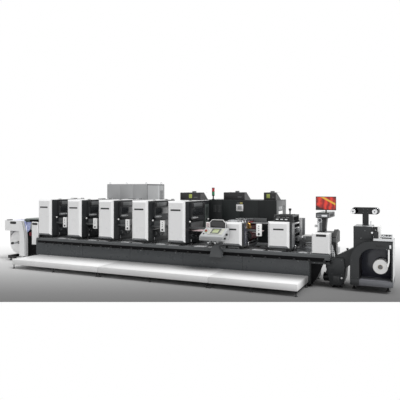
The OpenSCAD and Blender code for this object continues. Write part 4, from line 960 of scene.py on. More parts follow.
def make_unit_handles():
    """Grab bars, ball knobs and clamp levers stand for the plain CAD ones."""
    kit = Kit("unit_handle_set", slot="bright_steel")
    for hand in parts("unit_handles"):
        if hand.h > 0.06:
            clamp_lever(kit, hand)
        elif hand.d > 0.2:
            r = hand.h / 2
            middle = hand.x1 - r
            z = hand.z(0.5)
            for y in (hand.y0 + 0.035, hand.y1 - 0.035):
                kit.rod((hand.x0, y, z), (middle, y, z), r * 0.95, "black", 16)
                kit.turned((hand.x0, y, z), ALONG,
                           [(-0.002, r * 1.8), (0.006, r * 1.8), (0.010, r * 1.2)], "black", 20)
            kit.turned((middle, hand.y0, z), BACK,
                       [(0, r * 0.7), (0.004, r), (0.052, r), (0.056, r * 0.92), (hand.d - 0.056, r * 0.92),
                        (hand.d - 0.052, r), (hand.d - 0.004, r), (hand.d, r * 0.7)], "grip_grey", 20)
        else:
            ball_knob(kit, hand.x0, hand.y(0.5), hand.z(0.5), hand.w)
    kit.done("unit_handles")


def make_button_plates():
    """Push-button plates on their brackets, in place of the plain CAD ones."""
    kit = Kit("button_panels", slot="white_paint")
    wide = 0.115
    pink = 4
    for number, plate in enumerate(parts("button_plates")):
        x0 = plate.x1 - wide
        face = plate.y0
        kit.box((x0, face + 0.012, plate.z0), (plate.x1, plate.y1, plate.z1), "white_with_painted_glow", 0.006)
        kit.box((plate.x0, face + 0.016, plate.z(0.36)), (x0 + 0.01, plate.y1 - 0.010, plate.z(0.52)),
                "machine_grey", 0.003)
        kit.box((plate.x0, face + 0.020, plate.z(0.40)),
                (x0 + 0.01, plate.y1 - 0.020, plate.z(0.56)), "hood_paint", 0.003)
        kit.box((x0 + 0.012, face + 0.010, plate.z0 + 0.012),
                (plate.x1 - 0.012, face + 0.014, plate.z1 - 0.012), "white_with_painted_glow")
        if number == pink:
            kit.box((x0 + 0.012, face + 0.009, plate.z(0.45)),
                    (plate.x1 - 0.012, face + 0.0135, plate.z1 - 0.012), "pink_plastic")
        for z in (0.82, 0.65, 0.48):
            kit.turned(((x0 + plate.x1) / 2, face + 0.011, plate.z(z)), OPERATOR,
                       [(0, 0.015), (0.003, 0.015), (0.004, 0.012), (0.007, 0.0115), (0.008, 0.009),
                        (0.008, 0)], "key_grey", 24)
        kit.turned(((x0 + plate.x1) / 2, face + 0.012, plate.z(0.17)), OPERATOR,
                   [(0, 0.024), (0.004, 0.024), (0.006, 0.019), (0.011, 0.019), (0.012, 0.016), (0.012, 0)],
                   "black", 28)
        kit.bolts((x0 + 0.010, plate.x1 - 0.010), [face + 0.012], (plate.z0 + 0.010, plate.z1 - 0.010),
                  OPERATOR, 0.004, "silver", 0.003)
    kit.done("button_plates")


def make_unit_webs():
    """Web strips that show between the units, and the outfeed chute of the last one."""
    kit = Kit("web_strips", slot="paper")
    covers = parts("unit_covers")
    last = covers[-1]
    z = last.z0 + 0.235
    side = last.x1 - 0.012
    kit.prism([(side, z - 0.006), (side + 0.33, z + 0.004), (side + 0.33, z + 0.007), (side, z - 0.002)], "y",
              last.y0 + 0.245, last.y0 + 0.93, "pink_plastic", 0.0008)
    kit.box((side, last.y0 + 0.235, z - 0.014), (side + 0.30, last.y0 + 0.245, z + 0.006), "black")
    tray = covers[-2]
    side = tray.x1 - 0.012
    kit.prism([(side, z - 0.002), (side + 0.075, z + 0.003), (side + 0.075, z + 0.006), (side, z + 0.001)],
              "y", tray.y0 + 0.28, tray.y0 + 0.56, "white_plastic", 0.0008)
    kit.done()


# ---------------------------------------------------------------- cabinets behind the line


def louvres(kit, x0, x1, z0, rows, face, pitch=0.022):
    """Rows of vent slots on a face that looks to the rear."""
    kit.row(rows, (0, 0, pitch), (x0, face + 0.0005, z0), (x1, face + 0.003, z0 + pitch * 0.42), "black")


def door_handle(kit, x, y, z):
    """Swing handle with its lock on a cabinet's rear door."""
    kit.box((x - 0.018, y, z - 0.075), (x + 0.018, y + 0.008, z + 0.075), "black", 0.003)
    kit.box((x - 0.011, y + 0.006, z - 0.060), (x + 0.011, y + 0.024, z + 0.030), "dark_steel", 0.004)
    kit.turned((x, y + 0.007, z + 0.050), BACK, stud(0.010, 0.004, 0.007, 0.005), "silver", 20)


def make_electrical_cabinet():
    """Cabinet with three doors on each long side, in place of the plain CAD one."""
    kit = Kit("electrical_cabinet_parts", slot="cabinet_grey")
    cab = part("electrical_cabinet")
    edge = 0.028
    skin = 0.002
    plinth = 0.10
    vents = cab.z1 - 0.42
    # end panel towards the rewinder: dark frame, two leaves, a pale strip and a vent
    for y0, y1, z0, z1 in ((cab.y0, cab.y0 + edge, plinth, cab.z1), (cab.y1 - edge, cab.y1, plinth, cab.z1),
                           (cab.y0 + edge, cab.y1 - edge, cab.z1 - edge, cab.z1)):
        kit.box((cab.x1 - skin, y0 + 0.001, z0), (cab.x1 + skin, y1 - 0.001, z1 - 0.001), "machine_grey")
    split = cab.y(0.66)
    for y0, y1, look in ((cab.y0 + edge + 0.004, split - 0.055, "cabinet_grey"),
                         (split - 0.049, split + 0.035, "console_grey"),
                         (split + 0.041, cab.y1 - edge - 0.004, "cabinet_grey")):
        kit.box((cab.x1 - skin, y0, plinth), (cab.x1 + skin, y1, cab.z1 - edge - 0.006), look)
    kit.row(12, VENT, (cab.x1 + 0.001, split + 0.075, vents),
            (cab.x1 + 0.004, cab.y1 - 0.075, vents + 0.009), "black")
    # shell: its back is let in, so that the door furniture stays inside the cabinet's depth
    rim = 0.018
    back = cab.y1 - 0.028
    kit.box((cab.x0, cab.y0, plinth), (cab.x1, back, cab.z1), "cabinet_grey", 0.004)
    for x0, x1, z0, z1 in ((cab.x0, cab.x0 + rim, plinth, cab.z1), (cab.x1 - rim, cab.x1, plinth, cab.z1),
                           (cab.x0 + rim, cab.x1 - rim, plinth, plinth + rim),
                           (cab.x0 + rim, cab.x1 - rim, cab.z1 - rim, cab.z1)):
        kit.box((x0, back - 0.004, z0), (x1, cab.y1, z1), "cabinet_grey")
    # doors: only the rear ones, which look away from the line, carry handles and louvres
    for x0, x1 in leaves(cab.x0 + 0.022, cab.w - 0.038, 3, 0.006):
        kit.box((x0, cab.y0 - 0.0022, 0.122), (x1, cab.y0 + 0.002, cab.z1 - 0.022), "cabinet_grey")
        kit.box((x0, back - 0.002, 0.122), (x1, back + 0.0022, cab.z1 - 0.022), "cabinet_grey")
        door_handle(kit, x1 - 0.05, back + 0.002, 1.05)
        for z, rows in ((0.22, 12), (1.68, 8)):
            louvres(kit, x0 + 0.08, x1 - 0.08, z, rows, back + 0.002)
    # plinth, roof sheet and the vented end towards the supply roll
    kit.box((cab.x0 + 0.02, cab.y0 + 0.02, 0), (cab.x1 - 0.02, cab.y1 - 0.02, plinth + 0.004), "black_steel")
    kit.box((cab.x0 + 0.01, cab.y0 + 0.01, cab.z1 - 0.001), (cab.x1 - 0.01, cab.y1 - 0.01, cab.z1 + 0.004),
            "cabinet_grey", 0.003)
    kit.box((cab.x0 - skin, cab.y0 + 0.02, 0.11),
            (cab.x0 + skin, cab.y1 - 0.02, cab.z1 - 0.014), "cabinet_grey")
    kit.row(12, VENT, (cab.x0 - 0.004, cab.y(0.2), vents),
            (cab.x0 - 0.001, cab.y(0.8), vents + 0.009), "black")
    kit.done("electrical_cabinet")


def make_rear_cabinet():
    """Doors, vents, bare plates and plinth of the long cabinet."""
    kit = Kit("rear_cabinet_parts", slot="dark_paint")
    cab = part("rear_cabinet")
    front = cab.y0
    fronts = ("cabinet_black", "cabinet_dark", "cabinet_mid", "cabinet_black")
    for (x0, x1), look in zip(leaves(cab.x0 + 0.006, cab.w - 0.012, 4, 0.005), fronts):
        kit.box((x0, front - 0.0025, 0.10), (x1, front + 0.0025, cab.z1 - 0.010), look)
        kit.box((x0, cab.y1 - 0.0025, 0.10), (x1, cab.y1 + 0.0025, cab.z1 - 0.010), "dark_paint")
        door_handle(kit, x1 - 0.05, cab.y1 + 0.002, 0.95)
        for z in (1.30, 0.20):
            louvres(kit, x0 + 0.07, x1 - 0.07, z, 9, cab.y1 + 0.0025)
    # two blocks of vents high on the front, and bare plates and marks
    for x in (0.125, 0.185):
        kit.row(7, (0, 0, -0.026), (cab.x(x), front - 0.004, cab.z1 - 0.135),
                (cab.x(x + 0.045), front - 0.002, cab.z1 - 0.127), "machine_grey")
    plate = cab.x(0.503)
    for x0, x1, low, high, out, into, look in ((-0.086, 0.086, 0.262, 0.105, 0.005, 0.002, "white_plastic"),
                                               (-0.052, 0.052, 0.228, 0.140, 0.0062, 0.004, "grip_grey"),
                                               (0.004, 0.070, 0.092, 0.058, 0.005, 0.002, "pale_yellow"),
                                               (-0.060, -0.006, 0.085, 0.066, 0.005, 0.002, "mid_grey")):
        kit.box((plate + x0, front - out, cab.z1 - low), (plate + x1, front - into, cab.z1 - high), look)
    # end towards the rewinder: paler panel with two bare plates and a vent
    kit.box((cab.x1 - 0.002, cab.y0 + 0.012, 0.10),
            (cab.x1 + 0.002, cab.y1 - 0.012, cab.z1 - 0.012), "machine_grey")
    for y1, low, high, look in ((0.46, 0.225, 0.150, "grip_grey"), (0.50, 0.375, 0.255, "white_with_painted_glow")):
        kit.box((cab.x1 + 0.001, cab.y0 + 0.165, cab.z1 - low),
                (cab.x1 + 0.004, cab.y0 + y1, cab.z1 - high), look)
    kit.row(10, VENT, (cab.x1 + 0.001, cab.y0 + 0.55, cab.z1 - 0.34),
            (cab.x1 + 0.004, cab.y1 - 0.08, cab.z1 - 0.331), "black")
    kit.box((cab.x0 + 0.001, cab.y0 + 0.001, 0), (cab.x1 - 0.001, cab.y1 - 0.001, 0.095), "black_steel", 0.0)
    kit.done()


def make_lamp_boxes():
    """Lids, stickers, fins and air ducts of the lamp boxes."""
    kit = Kit("lamp_box_parts", slot="black_steel")
    for number, lamp in enumerate(parts("lamp_boxes")):
        kit.box((lamp.x0 + 0.010, lamp.y0 - 0.003, lamp.z0 + 0.012),
                (lamp.x1 - 0.010, lamp.y0 + 0.002, lamp.z1 - 0.012), "black", 0.003)
        if number != 1:
            left = lamp.x(0.43 if number == 0 else 0.22)
            kit.box((left, lamp.y0 - 0.005, lamp.z(0.28)),
                    (left + 0.080, lamp.y0 - 0.002, lamp.z(0.80)), "sticker")
        kit.box((lamp.x(0.66), lamp.y0 - 0.005, lamp.z(0.30)),
                (lamp.x(0.84), lamp.y0 - 0.002, lamp.z(0.46)), "machine_grey")
        kit.row(8, (lamp.w * 0.1, 0, 0), (lamp.x(0.1), lamp.y(0.15), lamp.z1 - 0.001),
                (lamp.x(0.1) + 0.018, lamp.y(0.85), lamp.z1 + 0.003), "dark_steel")
        kit.turned((lamp.x(0.5), lamp.y(0.5), lamp.z1), UP,
                   [(0, 0.060), (0.006, 0.060), (0.008, 0.048), (0.026, 0.048), (0.028, 0.052),
                    (0.034, 0.052), (0.036, 0.046), (0.036, 0.040), (0.010, 0.038), (0.010, 0)], "dark_steel")
        kit.bolts((lamp.x0 + 0.02, lamp.x1 - 0.02), (lamp.y(0.1), lamp.y(0.9)), [lamp.z1], UP, 0.006)
    kit.done()


def make_stack_light():
    """Red over green signal column on a short black base."""
    kit = Kit("signal_column", slot="lamp_plastic")
    light = part("stack_light")
    x = light.x(0.5)
    y = light.y(0.5)
    r = light.w / 2
    tall = light.h
    kit.turned((x, y, light.z0), UP, [(0, r), (0.010, r), (0.014, r * 0.8), (0.020, r * 0.42),
                                      (tall * 0.30, r * 0.42), (tall * 0.32, r * 0.80),
                                      (tall * 0.38, r * 0.86)], "black")
    for low, high, look in ((0.38, 0.66, "green_lens"), (0.68, 0.94, "red_lens")):
        profile = [(tall * low, r * 0.80)]
        ribs = 8
        for k in range(ribs):
            step = tall * (high - low) / ribs
            profile += [(tall * low + (k + 0.15) * step, r * 0.84),
                        (tall * low + (k + 0.85) * step, r * 0.84), (tall * low + (k + 1) * step, r * 0.78)]
        kit.turned((x, y, light.z0), UP, profile, look)
    middle_ring = [(tall * 0.655, r * 0.84), (tall * 0.66, r * 0.88), (tall * 0.68, r * 0.88),
                   (tall * 0.685, r * 0.84)]
    cap = [(tall * 0.935, r * 0.84), (tall * 0.945, r * 0.88), (tall * 0.985, r * 0.85), (tall, r * 0.6),
           (tall, 0)]
    for profile in (middle_ring, cap):
        kit.turned((x, y, light.z0), UP, profile, "black")
    kit.done("stack_light")


# ---------------------------------------------------------------- operator console


def make_console():
    """Panel with its screen, keys and buttons, the hood's rim, and the knobs of the tilt bracket."""
    box = part("console_box")
    hood = part("console_hood")
    front_top = box.z0 + 0.146
    slope = 25.41
    tip = about((0, box.y0, front_top), "X", slope)
    kit = Kit("console_panel", body="console", slot="console_grey")

    def pad(x0, x1, v0, v1, low, high, look, bevel=0.003):
        kit.box((box.x0 + x0, box.y0 + v0, front_top + low),
                (box.x0 + x1, box.y0 + v1, front_top + high), look, bevel, tip)

    wide = box.w
    kit.box((box.x0 + 0.006, box.y0 - 0.003, box.z0 + 0.072),
            (box.x1 - 0.006, box.y0 + 0.002, front_top - 0.006), "lip_grey", 0.003)
    pad(0.010, wide - 0.010, 0.010, 0.340, -0.001, 0.004, "console_grey", 0.003)
    pad(0.150, wide - 0.045, 0.070, 0.310, 0.003, 0.014, "console_grey", 0.005)
    pad(0.160, wide - 0.055, 0.080, 0.300, 0.012, 0.0155, "pale_panel", 0.003)
    pad(0.190, 0.384, 0.098, 0.296, 0.0145, 0.018, "machine_grey", 0.002)
    pad(0.222, 0.354, 0.132, 0.270, 0.0170, 0.0190, "lcd", 0.001)
    for column, row in product(range(2), range(4)):
        x = 0.390 + column * 0.030
        v = 0.125 + row * 0.038
        pad(x, x + 0.020, v, v + 0.024, 0.0150, 0.0185, "key_grey" if column else "grip_grey", 0.002)
    for k in range(6):
        x = 0.205 + k * 0.027
        pad(x, x + 0.019, 0.092, 0.108, 0.0150, 0.0175, "key_grey", 0.001)

    def button(x, v, profile, look):
        kit.turned((box.x0 + x, box.y0 + v, front_top + 0.003), UP, profile, look, 28, tip)

    # emergency stop on its plate, a button and two lamps
    button(0.070, 0.205, [(0, 0.036), (0.002, 0.036), (0.003, 0.032)], "sticker")
    r = 0.020
    button(0.070, 0.205, [(0, r * 1.35), (0.004, r * 1.35), (0.006, r * 0.7), (0.014, r * 0.7), (0.017, r),
                          (0.026, r), (0.031, r * 0.8), (0.032, 0)], "red_plastic")
    for x, v, r, look in ((0.060, 0.095, 0.014, "black"), (0.100, 0.130, 0.009, "green_lens"),
                          (0.105, 0.285, 0.011, "white_plastic")):
        button(x, v, [(0, r * 1.2), (0.004, r * 1.2), (0.006, r), (0.016, r * 0.9), (0.018, r * 0.6),
                      (0.018, 0)], look)
    # knobs low on the right end
    for y, z, r in ((box.y(0.46), box.z0 + 0.185, 0.024), (box.y(0.20), box.z0 + 0.115, 0.022)):
        kit.turned((box.x1, y, z), ALONG, [(-0.001, r * 0.7), (0.010, r * 0.7), (0.012, r), (0.034, r * 0.95),
                   (0.036, r * 0.8), (0.036, 0)], "black", 28)
    kit.bolts((box.x0 + 0.02, box.x1 - 0.02), [box.y0 - 0.0025], (box.z0 + 0.085, front_top - 0.02), OPERATOR,
              0.005, "silver", 0.003)
    # hood: pale rim round the black shade
    rim = 0.0065
    shape = [(hood.x0, hood.z0), (hood.x0, hood.z1 - 0.058), (hood.x0 + 0.058, hood.z1),
             (hood.x1 - 0.058, hood.z1), (hood.x1, hood.z1 - 0.058), (hood.x1, hood.z0)]
    corners = [(x, hood.y0 - 0.004, z) for x, z in shape]
    for a, b in zip(corners, corners[1:]):
        kit.rod(a, b, rim, "white_plastic", 12)
        kit.ball(b, rim, "white_plastic", 12)
    kit.box((hood.x0 + 0.03, hood.y0 - 0.002, hood.z0 + 0.09),
            (hood.x1 - 0.03, hood.y0 + 0.002, hood.z1 - 0.03), "glass_black", 0.004)
    pivot_y = box.y0 + 0.217
    for x in (box.x0 + 0.150, box.x0 + 0.300):
        kit.turned((x, pivot_y - 0.055, box.z0 + 0.012), OPERATOR,
                   [(0, 0.014), (0.020, 0.014), (0.024, 0.010), (0.050, 0.010), (0.054, 0.016),
                    (0.062, 0.016), (0.064, 0.012), (0.064, 0)], "silver", 24)
    kit.done()
    bracket = part("console_bracket")
    low = Kit("console_bracket_parts", slot="rail_paint")
    low.bolts((bracket.x0 + 0.022, bracket.x1 - 0.022),
              [bracket.y1 - 0.08], [bracket.z0 + 0.03], OPERATOR, 0.008)
    low.turned((box.x0 + 0.215, pivot_y - 0.03, box.z0 - 0.035), OPERATOR,
               [(0, 0.026), (0.012, 0.030), (0.020, 0.030), (0.024, 0.024), (0.024, 0)], "black", 28)
    low.done()


# ---------------------------------------------------------------- die stations


def make_die_stations():
    """Side plates, plinths and tops of the two die stations, and the web between them."""
    first, second = parts("station_covers")[1:3]
    kit = Kit("die_station_parts", slot="dark_paint")
    for cover, side, blue, low in ((first, part("die_frame_1"), "panel_blue", "mid_grey"),
                                   (second, part("die_frame_2"), "mid_grey", "machine_grey")):
        badge(kit, cover.x(0.27), cover.x(0.76), cover.z1 - 0.150, cover.y0, 0.030)
        # black strip at the cover's right side: painted shadow in the gap
        kit.box((cover.x1 - 0.02, cover.y0 + 0.059, cover.z0),
                (cover.x1 + 0.001, cover.y0 + 0.068, cover.z1 - 0.02), "black", 0.001)
        kit.box((side.x1 - 0.002, side.y0 + 0.010, side.z0 + 0.03),
                (side.x1 + 0.004, side.y0 + 0.225, cover.z1 - 0.03), blue, 0.003)
        kit.bolts([side.x1 + 0.004], (side.y0 + 0.03, side.y0 + 0.205),
                  (side.z0 + 0.10, side.z(0.5), side.z1 - 0.09), ALONG)
        kit.turned((side.x1 + 0.003, side.y0 + 0.10, side.z0 + 0.39),
                   ALONG, stud(0.014, 0.010, 0.011, 0.014), "grip_grey", 24)
        kit.box((side.x1 - 0.002, side.y1 - 0.030, side.z0 + 0.03),
                (side.x1 + 0.004, side.y1 - 0.004, cover.z1 - 0.05), "machine_grey")
        # two feet and a low rail under the cover
        for x in (cover.x0 + 0.06, cover.x1 - 0.05):
            kit.turned((x, cover.y0 + 0.15, side.z0 - 0.052), UP, [(0, 0.034), (0.010, 0.036), (0.020, 0.030),
                       (0.050, 0.026)], "black", 24)
        kit.box((cover.x0 + 0.09, cover.y0 + 0.105, side.z0 - 0.050), (cover.x1 - 0.08, cover.y0 + 0.125,
                side.z0 - 0.014), low)
    kit.bolt((first.x0 + 0.02, first.y0 + 0.20, first.z0 - 0.068), OPERATOR, 0.012, "white_plastic")
    kit.done()
    # tops: clamp bars, studs and a cross panel
    top = Kit("die_top_parts", slot="bright_steel")
    plates = parts("die_top_plates")
    lid = plates[0]
    for k in range(4):
        x = lid.x(0.15 + 0.2 * k)
        top.box((x, lid.y(0.10), lid.z1 - 0.001),
                (x + 0.030, lid.y(0.90), lid.z1 + 0.012 + 0.006 * (k % 2)), "silver", 0.003)
        top.bolts([x + 0.015], (lid.y(0.2), lid.y(0.8)), [lid.z1 + 0.012], UP, 0.009)
    for plate in plates[2:]:
        for x, y in product((plate.x0 + 0.03, plate.x1 - 0.035), (plate.y(0.2), plate.y(0.8))):
            top.turned((x, y, plate.z1 - 0.001), UP, [(0, 0.013), (0.010, 0.013), (0.018, 0.009),
                    (0.030, 0.009), (0.032, 0.007), (0.032, 0)], "silver", 20)
    frame_1 = part("die_frame_1")
    top.box((frame_1.x1 + 0.001, first.y0 + 0.62, first.z1 - 0.085),
            (frame_1.x1 + 0.30, first.y0 + 0.64, first.z1 + 0.055), "machine_grey", 0.003)
    top.box((frame_1.x1 - 0.10, first.y0 + 0.60, first.z1),
            (frame_1.x1 + 0.02, first.y0 + 0.66, first.z1 + 0.050), "dark_steel", 0.003)
    for k in range(5):
        x = frame_1.x1 + 0.03 + k * 0.06
        top.turned((x, first.y0 + 0.621, first.z1 - 0.015), OPERATOR,
                   stud(0.012, 0.006, 0.009, 0.008), "dark_steel", 16)
    # thin web from the first station to the second
    second_frame = part("die_frame_2")
    web_y0 = first.y0 + 0.33
    top.prism([(frame_1.x1, first.z1 - 0.035), (second_frame.x0, second.z1 - 0.070),
               (second_frame.x0, second.z1 - 0.0690), (frame_1.x1, first.z1 - 0.0340)], "y", web_y0,
              web_y0 + 0.33, "mid_grey", 0.0004)
    top.done()


def make_die_cylinders():
    """Die and anvil cylinders: dark red sleeves, bright bearer rings and shaft ends."""
    for node, brass in (("die_cylinder_upper", True), ("die_cylinder_lower", False)):
        b = part(node)
        kit = Kit(node + "_dressed", body=node, slot="red_rubber")
        x = b.x(0.5)
        z = b.z(0.5)
        r = b.h / 2
        ends = 0.056
        grooves = [(ends, r * 0.93)]
        bands = 9
        span = (b.d - 2 * ends) / bands
        for k in range(bands):
            grooves += [(ends + k * span + 0.003, r), (ends + (k + 1) * span - 0.003, r),
                        (ends + (k + 1) * span, r * 0.975)]
        kit.turned((x, b.y0, z), BACK, grooves + [(b.d - ends, r * 0.93)], "red_rubber", 64)
        for y0, y1 in ((ends - 0.004, ends + 0.020), (b.d - ends - 0.020, b.d - ends + 0.004)):
            kit.turned((x, b.y0, z), BACK, [(y0, r * 0.80), (y0, r * 0.97), (y0 + 0.003, r), (y1 - 0.003, r),
                       (y1, r * 0.97), (y1, r * 0.80)], "black", 64)
        kit.turned((x, b.y0, z), BACK, [(0, r * 0.24), (0.003, r * 0.28), (ends + 0.01, r * 0.28)], "chrome")
        kit.turned((x, b.y0, z), BACK, [(b.d - ends - 0.01, r * 0.28), (b.d - 0.003, r * 0.28),
                                        (b.d, r * 0.24)], "chrome")
        if brass:
            kit.turned((x, b.y0 + 0.006, z), BACK, [(0, r * 0.28), (0, r * 0.93), (0.004, r * 0.97),
                    (0.036, r * 0.97), (0.040, r * 0.93), (0.040, r * 0.28)], "brass", 64)
            for dx, dz in circle(r * 0.66, 8):
                kit.bolt((x + dx, b.y0 + 0.006, z + dz), OPERATOR, 0.006, "dark_steel", 0.004)
        for dx, dz in circle(r * 0.60, 12):
            kit.box((x + dx - 0.005, b.y0 + ends - 0.006, z + dz - 0.005),
                    (x + dx + 0.005, b.y0 + ends, z + dz + 0.005), "dark_steel", 0.001)
        kit.done(node)


def make_die_bay():
    """The web past the cylinders, the lever below them, and the tubes of the second station."""
    kit = Kit("die_bay_parts", slot="dark_paint")
    web = Kit("die_web", slot="paper")
    side = part("die_frame_1")
    upper = part("die_cylinder_upper")
    back = part("die_frame_2")
    # web line that runs out past the cylinders
    z = upper.z0 - 0.030
    web.box((upper.x1 + 0.004, upper.y0 + 0.075, z - 0.0005),
            (upper.x1 + 0.115, upper.y1 - 0.090, z + 0.0055), "pink_paper", 0.0)
    web.done()
    # guard rod over the cylinders
    kit.rod((side.x1 + 0.018, upper.y0 - 0.040, upper.z1 + 0.020),
            (side.x1 + 0.018, upper.y1 + 0.010, upper.z1 + 0.020), 0.009, "chrome")
    # black lever curved round below the lower cylinder
    foot = parts("unit_handles")[-2]
    kit.tube([(foot.x1 - 0.006, foot.y1 + 0.006, foot.z1 - 0.012),
              (side.x1 + 0.035, foot.y1 + 0.10, foot.z1 + 0.004),
              (side.x1 + 0.040, foot.y1 + 0.22, foot.z1 + 0.018),
              (side.x1 + 0.030, foot.y1 + 0.40, foot.z1 + 0.022)], 0.008, "black", 12, 8)
    # plates round the second station's bay
    for z in (back.z0 + 0.12, back.z(0.45), back.z(0.78)):
        kit.box((back.x1 - 0.012, back.y0 + 0.85, z),
                (back.x1 + 0.004, back.y0 + 0.915, z + 0.06), "dark_steel", 0.003)
    # collars of its guide bars
    for bar in parts("guide_bars")[2:]:
        for y in (bar.y0 + 0.004, bar.y1 - 0.014):
            kit.turned((bar.x(0.5), y, bar.z(0.5)), BACK,
                       [(0, bar.w * 0.4), (0, bar.w * 0.62), (0.010, bar.w * 0.62), (0.010, bar.w * 0.4)],
                       "dark_steel", 28)
    # two drums and a hose on the outfeed side of the second station
    y = back.y0 + 0.42
    for z, r in ((back.z0 + 0.17, 0.055), (back.z0 + 0.33, 0.040)):
        kit.turned((back.x1 + 0.010, y, z), BACK,
                   [(0, r * 0.5), (0.002, r), (0.198, r), (0.20, r * 0.5)], "mid_grey", 36)
        kit.turned((back.x1 + 0.010, y - 0.012, z), BACK,
                   [(0, r * 0.3), (0.002, r * 0.55), (0.014, r * 0.55)], "dark_steel", 28)
    kit.tube([(back.x1 + 0.035, y + 0.09, back.z0 + 0.16), (back.x1 + 0.070, y + 0.09, back.z0 + 0.15),
              (back.x1 + 0.100, y + 0.10, back.z0 + 0.09), (back.x1 + 0.110, y + 0.13, back.z0 - 0.03)],
             0.016, "mid_grey", 14, 8)
    kit.done()


def make_pressure_screw():
    """Bridge bolts, and the pressure screw with its star knob in place of the plain CAD one."""
    bridge = part("die_bridge")
    trim = Kit("bridge_parts", slot="bright_steel")
    for face, out in ((bridge.y0, -1), (bridge.y1, 1)):
        near, far = sorted((face + 0.001 * out, face + 0.003 * out))
        trim.row(3, (0.090, 0, 0), (bridge.x0 + 0.044, near, bridge.z0 + 0.034),
                 (bridge.x0 + 0.096, far, bridge.z0 + 0.052), "silver")
        trim.bolts((bridge.x0 + 0.018, bridge.x1 - 0.018), [face + 0.001 * out],
                   (bridge.z0 + 0.02, bridge.z1 - 0.02), (0, out, 0))
    trim.bolts((bridge.x(0.2), bridge.x(0.8)), (bridge.y(0.12), bridge.y(0.88)), [bridge.z1], UP, 0.009)
    screw = part("pressure_screw")
    x = screw.x(0.5)
    y = screw.y(0.5)
    trim.hexagon((x, y, bridge.z1 - 0.001), UP, 0.024, 0.010, "dark_steel")
    trim.done()
    kit = Kit("pressure_screw_dressed", body="pressure_screw", slot="black_steel")
    tall = screw.h
    r = screw.w / 2
    thread = [(0.0, r * 0.50)]
    turns = 12
    for k in range(turns):
        step = tall * 0.55 / turns
        thread += [((k + 0.25) * step, r * 0.42), ((k + 0.75) * step, r * 0.50)]
    kit.turned((x, y, screw.z0), UP, thread + [(tall * 0.56, r * 0.42), (tall * 0.60, r * 0.62),
            (tall * 0.72, r * 0.66), (tall * 0.74, r * 0.5)], "black", 24)
    lobes = []
    steps = 60
    for k in range(steps):
        a = 2 * math.pi * k / steps
        reach = r * (0.86 + 0.13 * math.cos(5 * a))
        lobes.append((x + reach * math.cos(a), y + reach * math.sin(a)))
    kit.prism(lobes, "z", screw.z0 + tall * 0.73, screw.z1, "black", 0.004)
    kit.turned((x, y, screw.z1 - 0.001), UP, [(0, r * 0.35), (0.001, r * 0.34), (0.001, 0)], "silver", 24)
    kit.done("pressure_screw")


def make_web_guard():
    """Perforated guard, pale cross panel and the web's last flat run before the inspection table."""
    kit = Kit("guard_panels", slot="guard_steel")
    guard = part("web_guard")
    inspect = part("inspection_frame")
    tall = 0.118
    low_z = guard.z0 + 0.262
    low_x = guard.x0 + tall
    for x0, x1, z0, z1, out, look in ((guard.x0 + 0.004, guard.x0 + tall * 0.52, low_z + 0.006,
                                       guard.z1 - 0.006, 0.0025, "light_guard"),
                                      (guard.x0 + tall * 0.56, low_x - 0.004, low_z + 0.006, guard.z1 - 0.006,
                                       0.0025, "mid_grey"), (low_x + 0.01, guard.x1 - 0.006, guard.z0 + 0.135,
            low_z - 0.006, 0.0025, "mesh_guard"), (low_x + 0.01, guard.x1 - 0.006, guard.z0 + 0.075,
            guard.z0 + 0.105, 0.0025, "white_plastic"),
                                      (low_x, guard.x1 - 0.002, guard.z0 + 0.106, guard.z0 + 0.118, 0.006,
                                       "black"), (low_x, guard.x1 - 0.002, guard.z0 + 0.052, guard.z0 + 0.066,
            0.006, "black")):
        kit.box((x0, guard.y0 - out, z0), (x1, guard.y0 + 0.001, z1), look,
                0.002 if look == "black" else 0.001)
    kit.box((guard.x0 + 0.004, guard.y1 - 0.001, guard.z0 + 0.01),
            (guard.x1 - 0.004, guard.y1 + 0.002, low_z - 0.004), "guard_steel", 0.001)
    # pale web over the low guard, from the second station into the table
    kit.box((low_x + 0.005, guard.y0 - 0.33, low_z + 0.030),
            (inspect.x0 - 0.002, guard.y0 - 0.002, low_z + 0.032), "paper", 0.0)
    for x in (low_x + 0.02, inspect.x0 - 0.03):
        kit.rod((x, guard.y0 - 0.34, low_z + 0.012),
                (x, guard.y0 + 0.006, low_z + 0.012), 0.016, "chrome", 24)
    kit.done()


# ---------------------------------------------------------------- inspection station and link


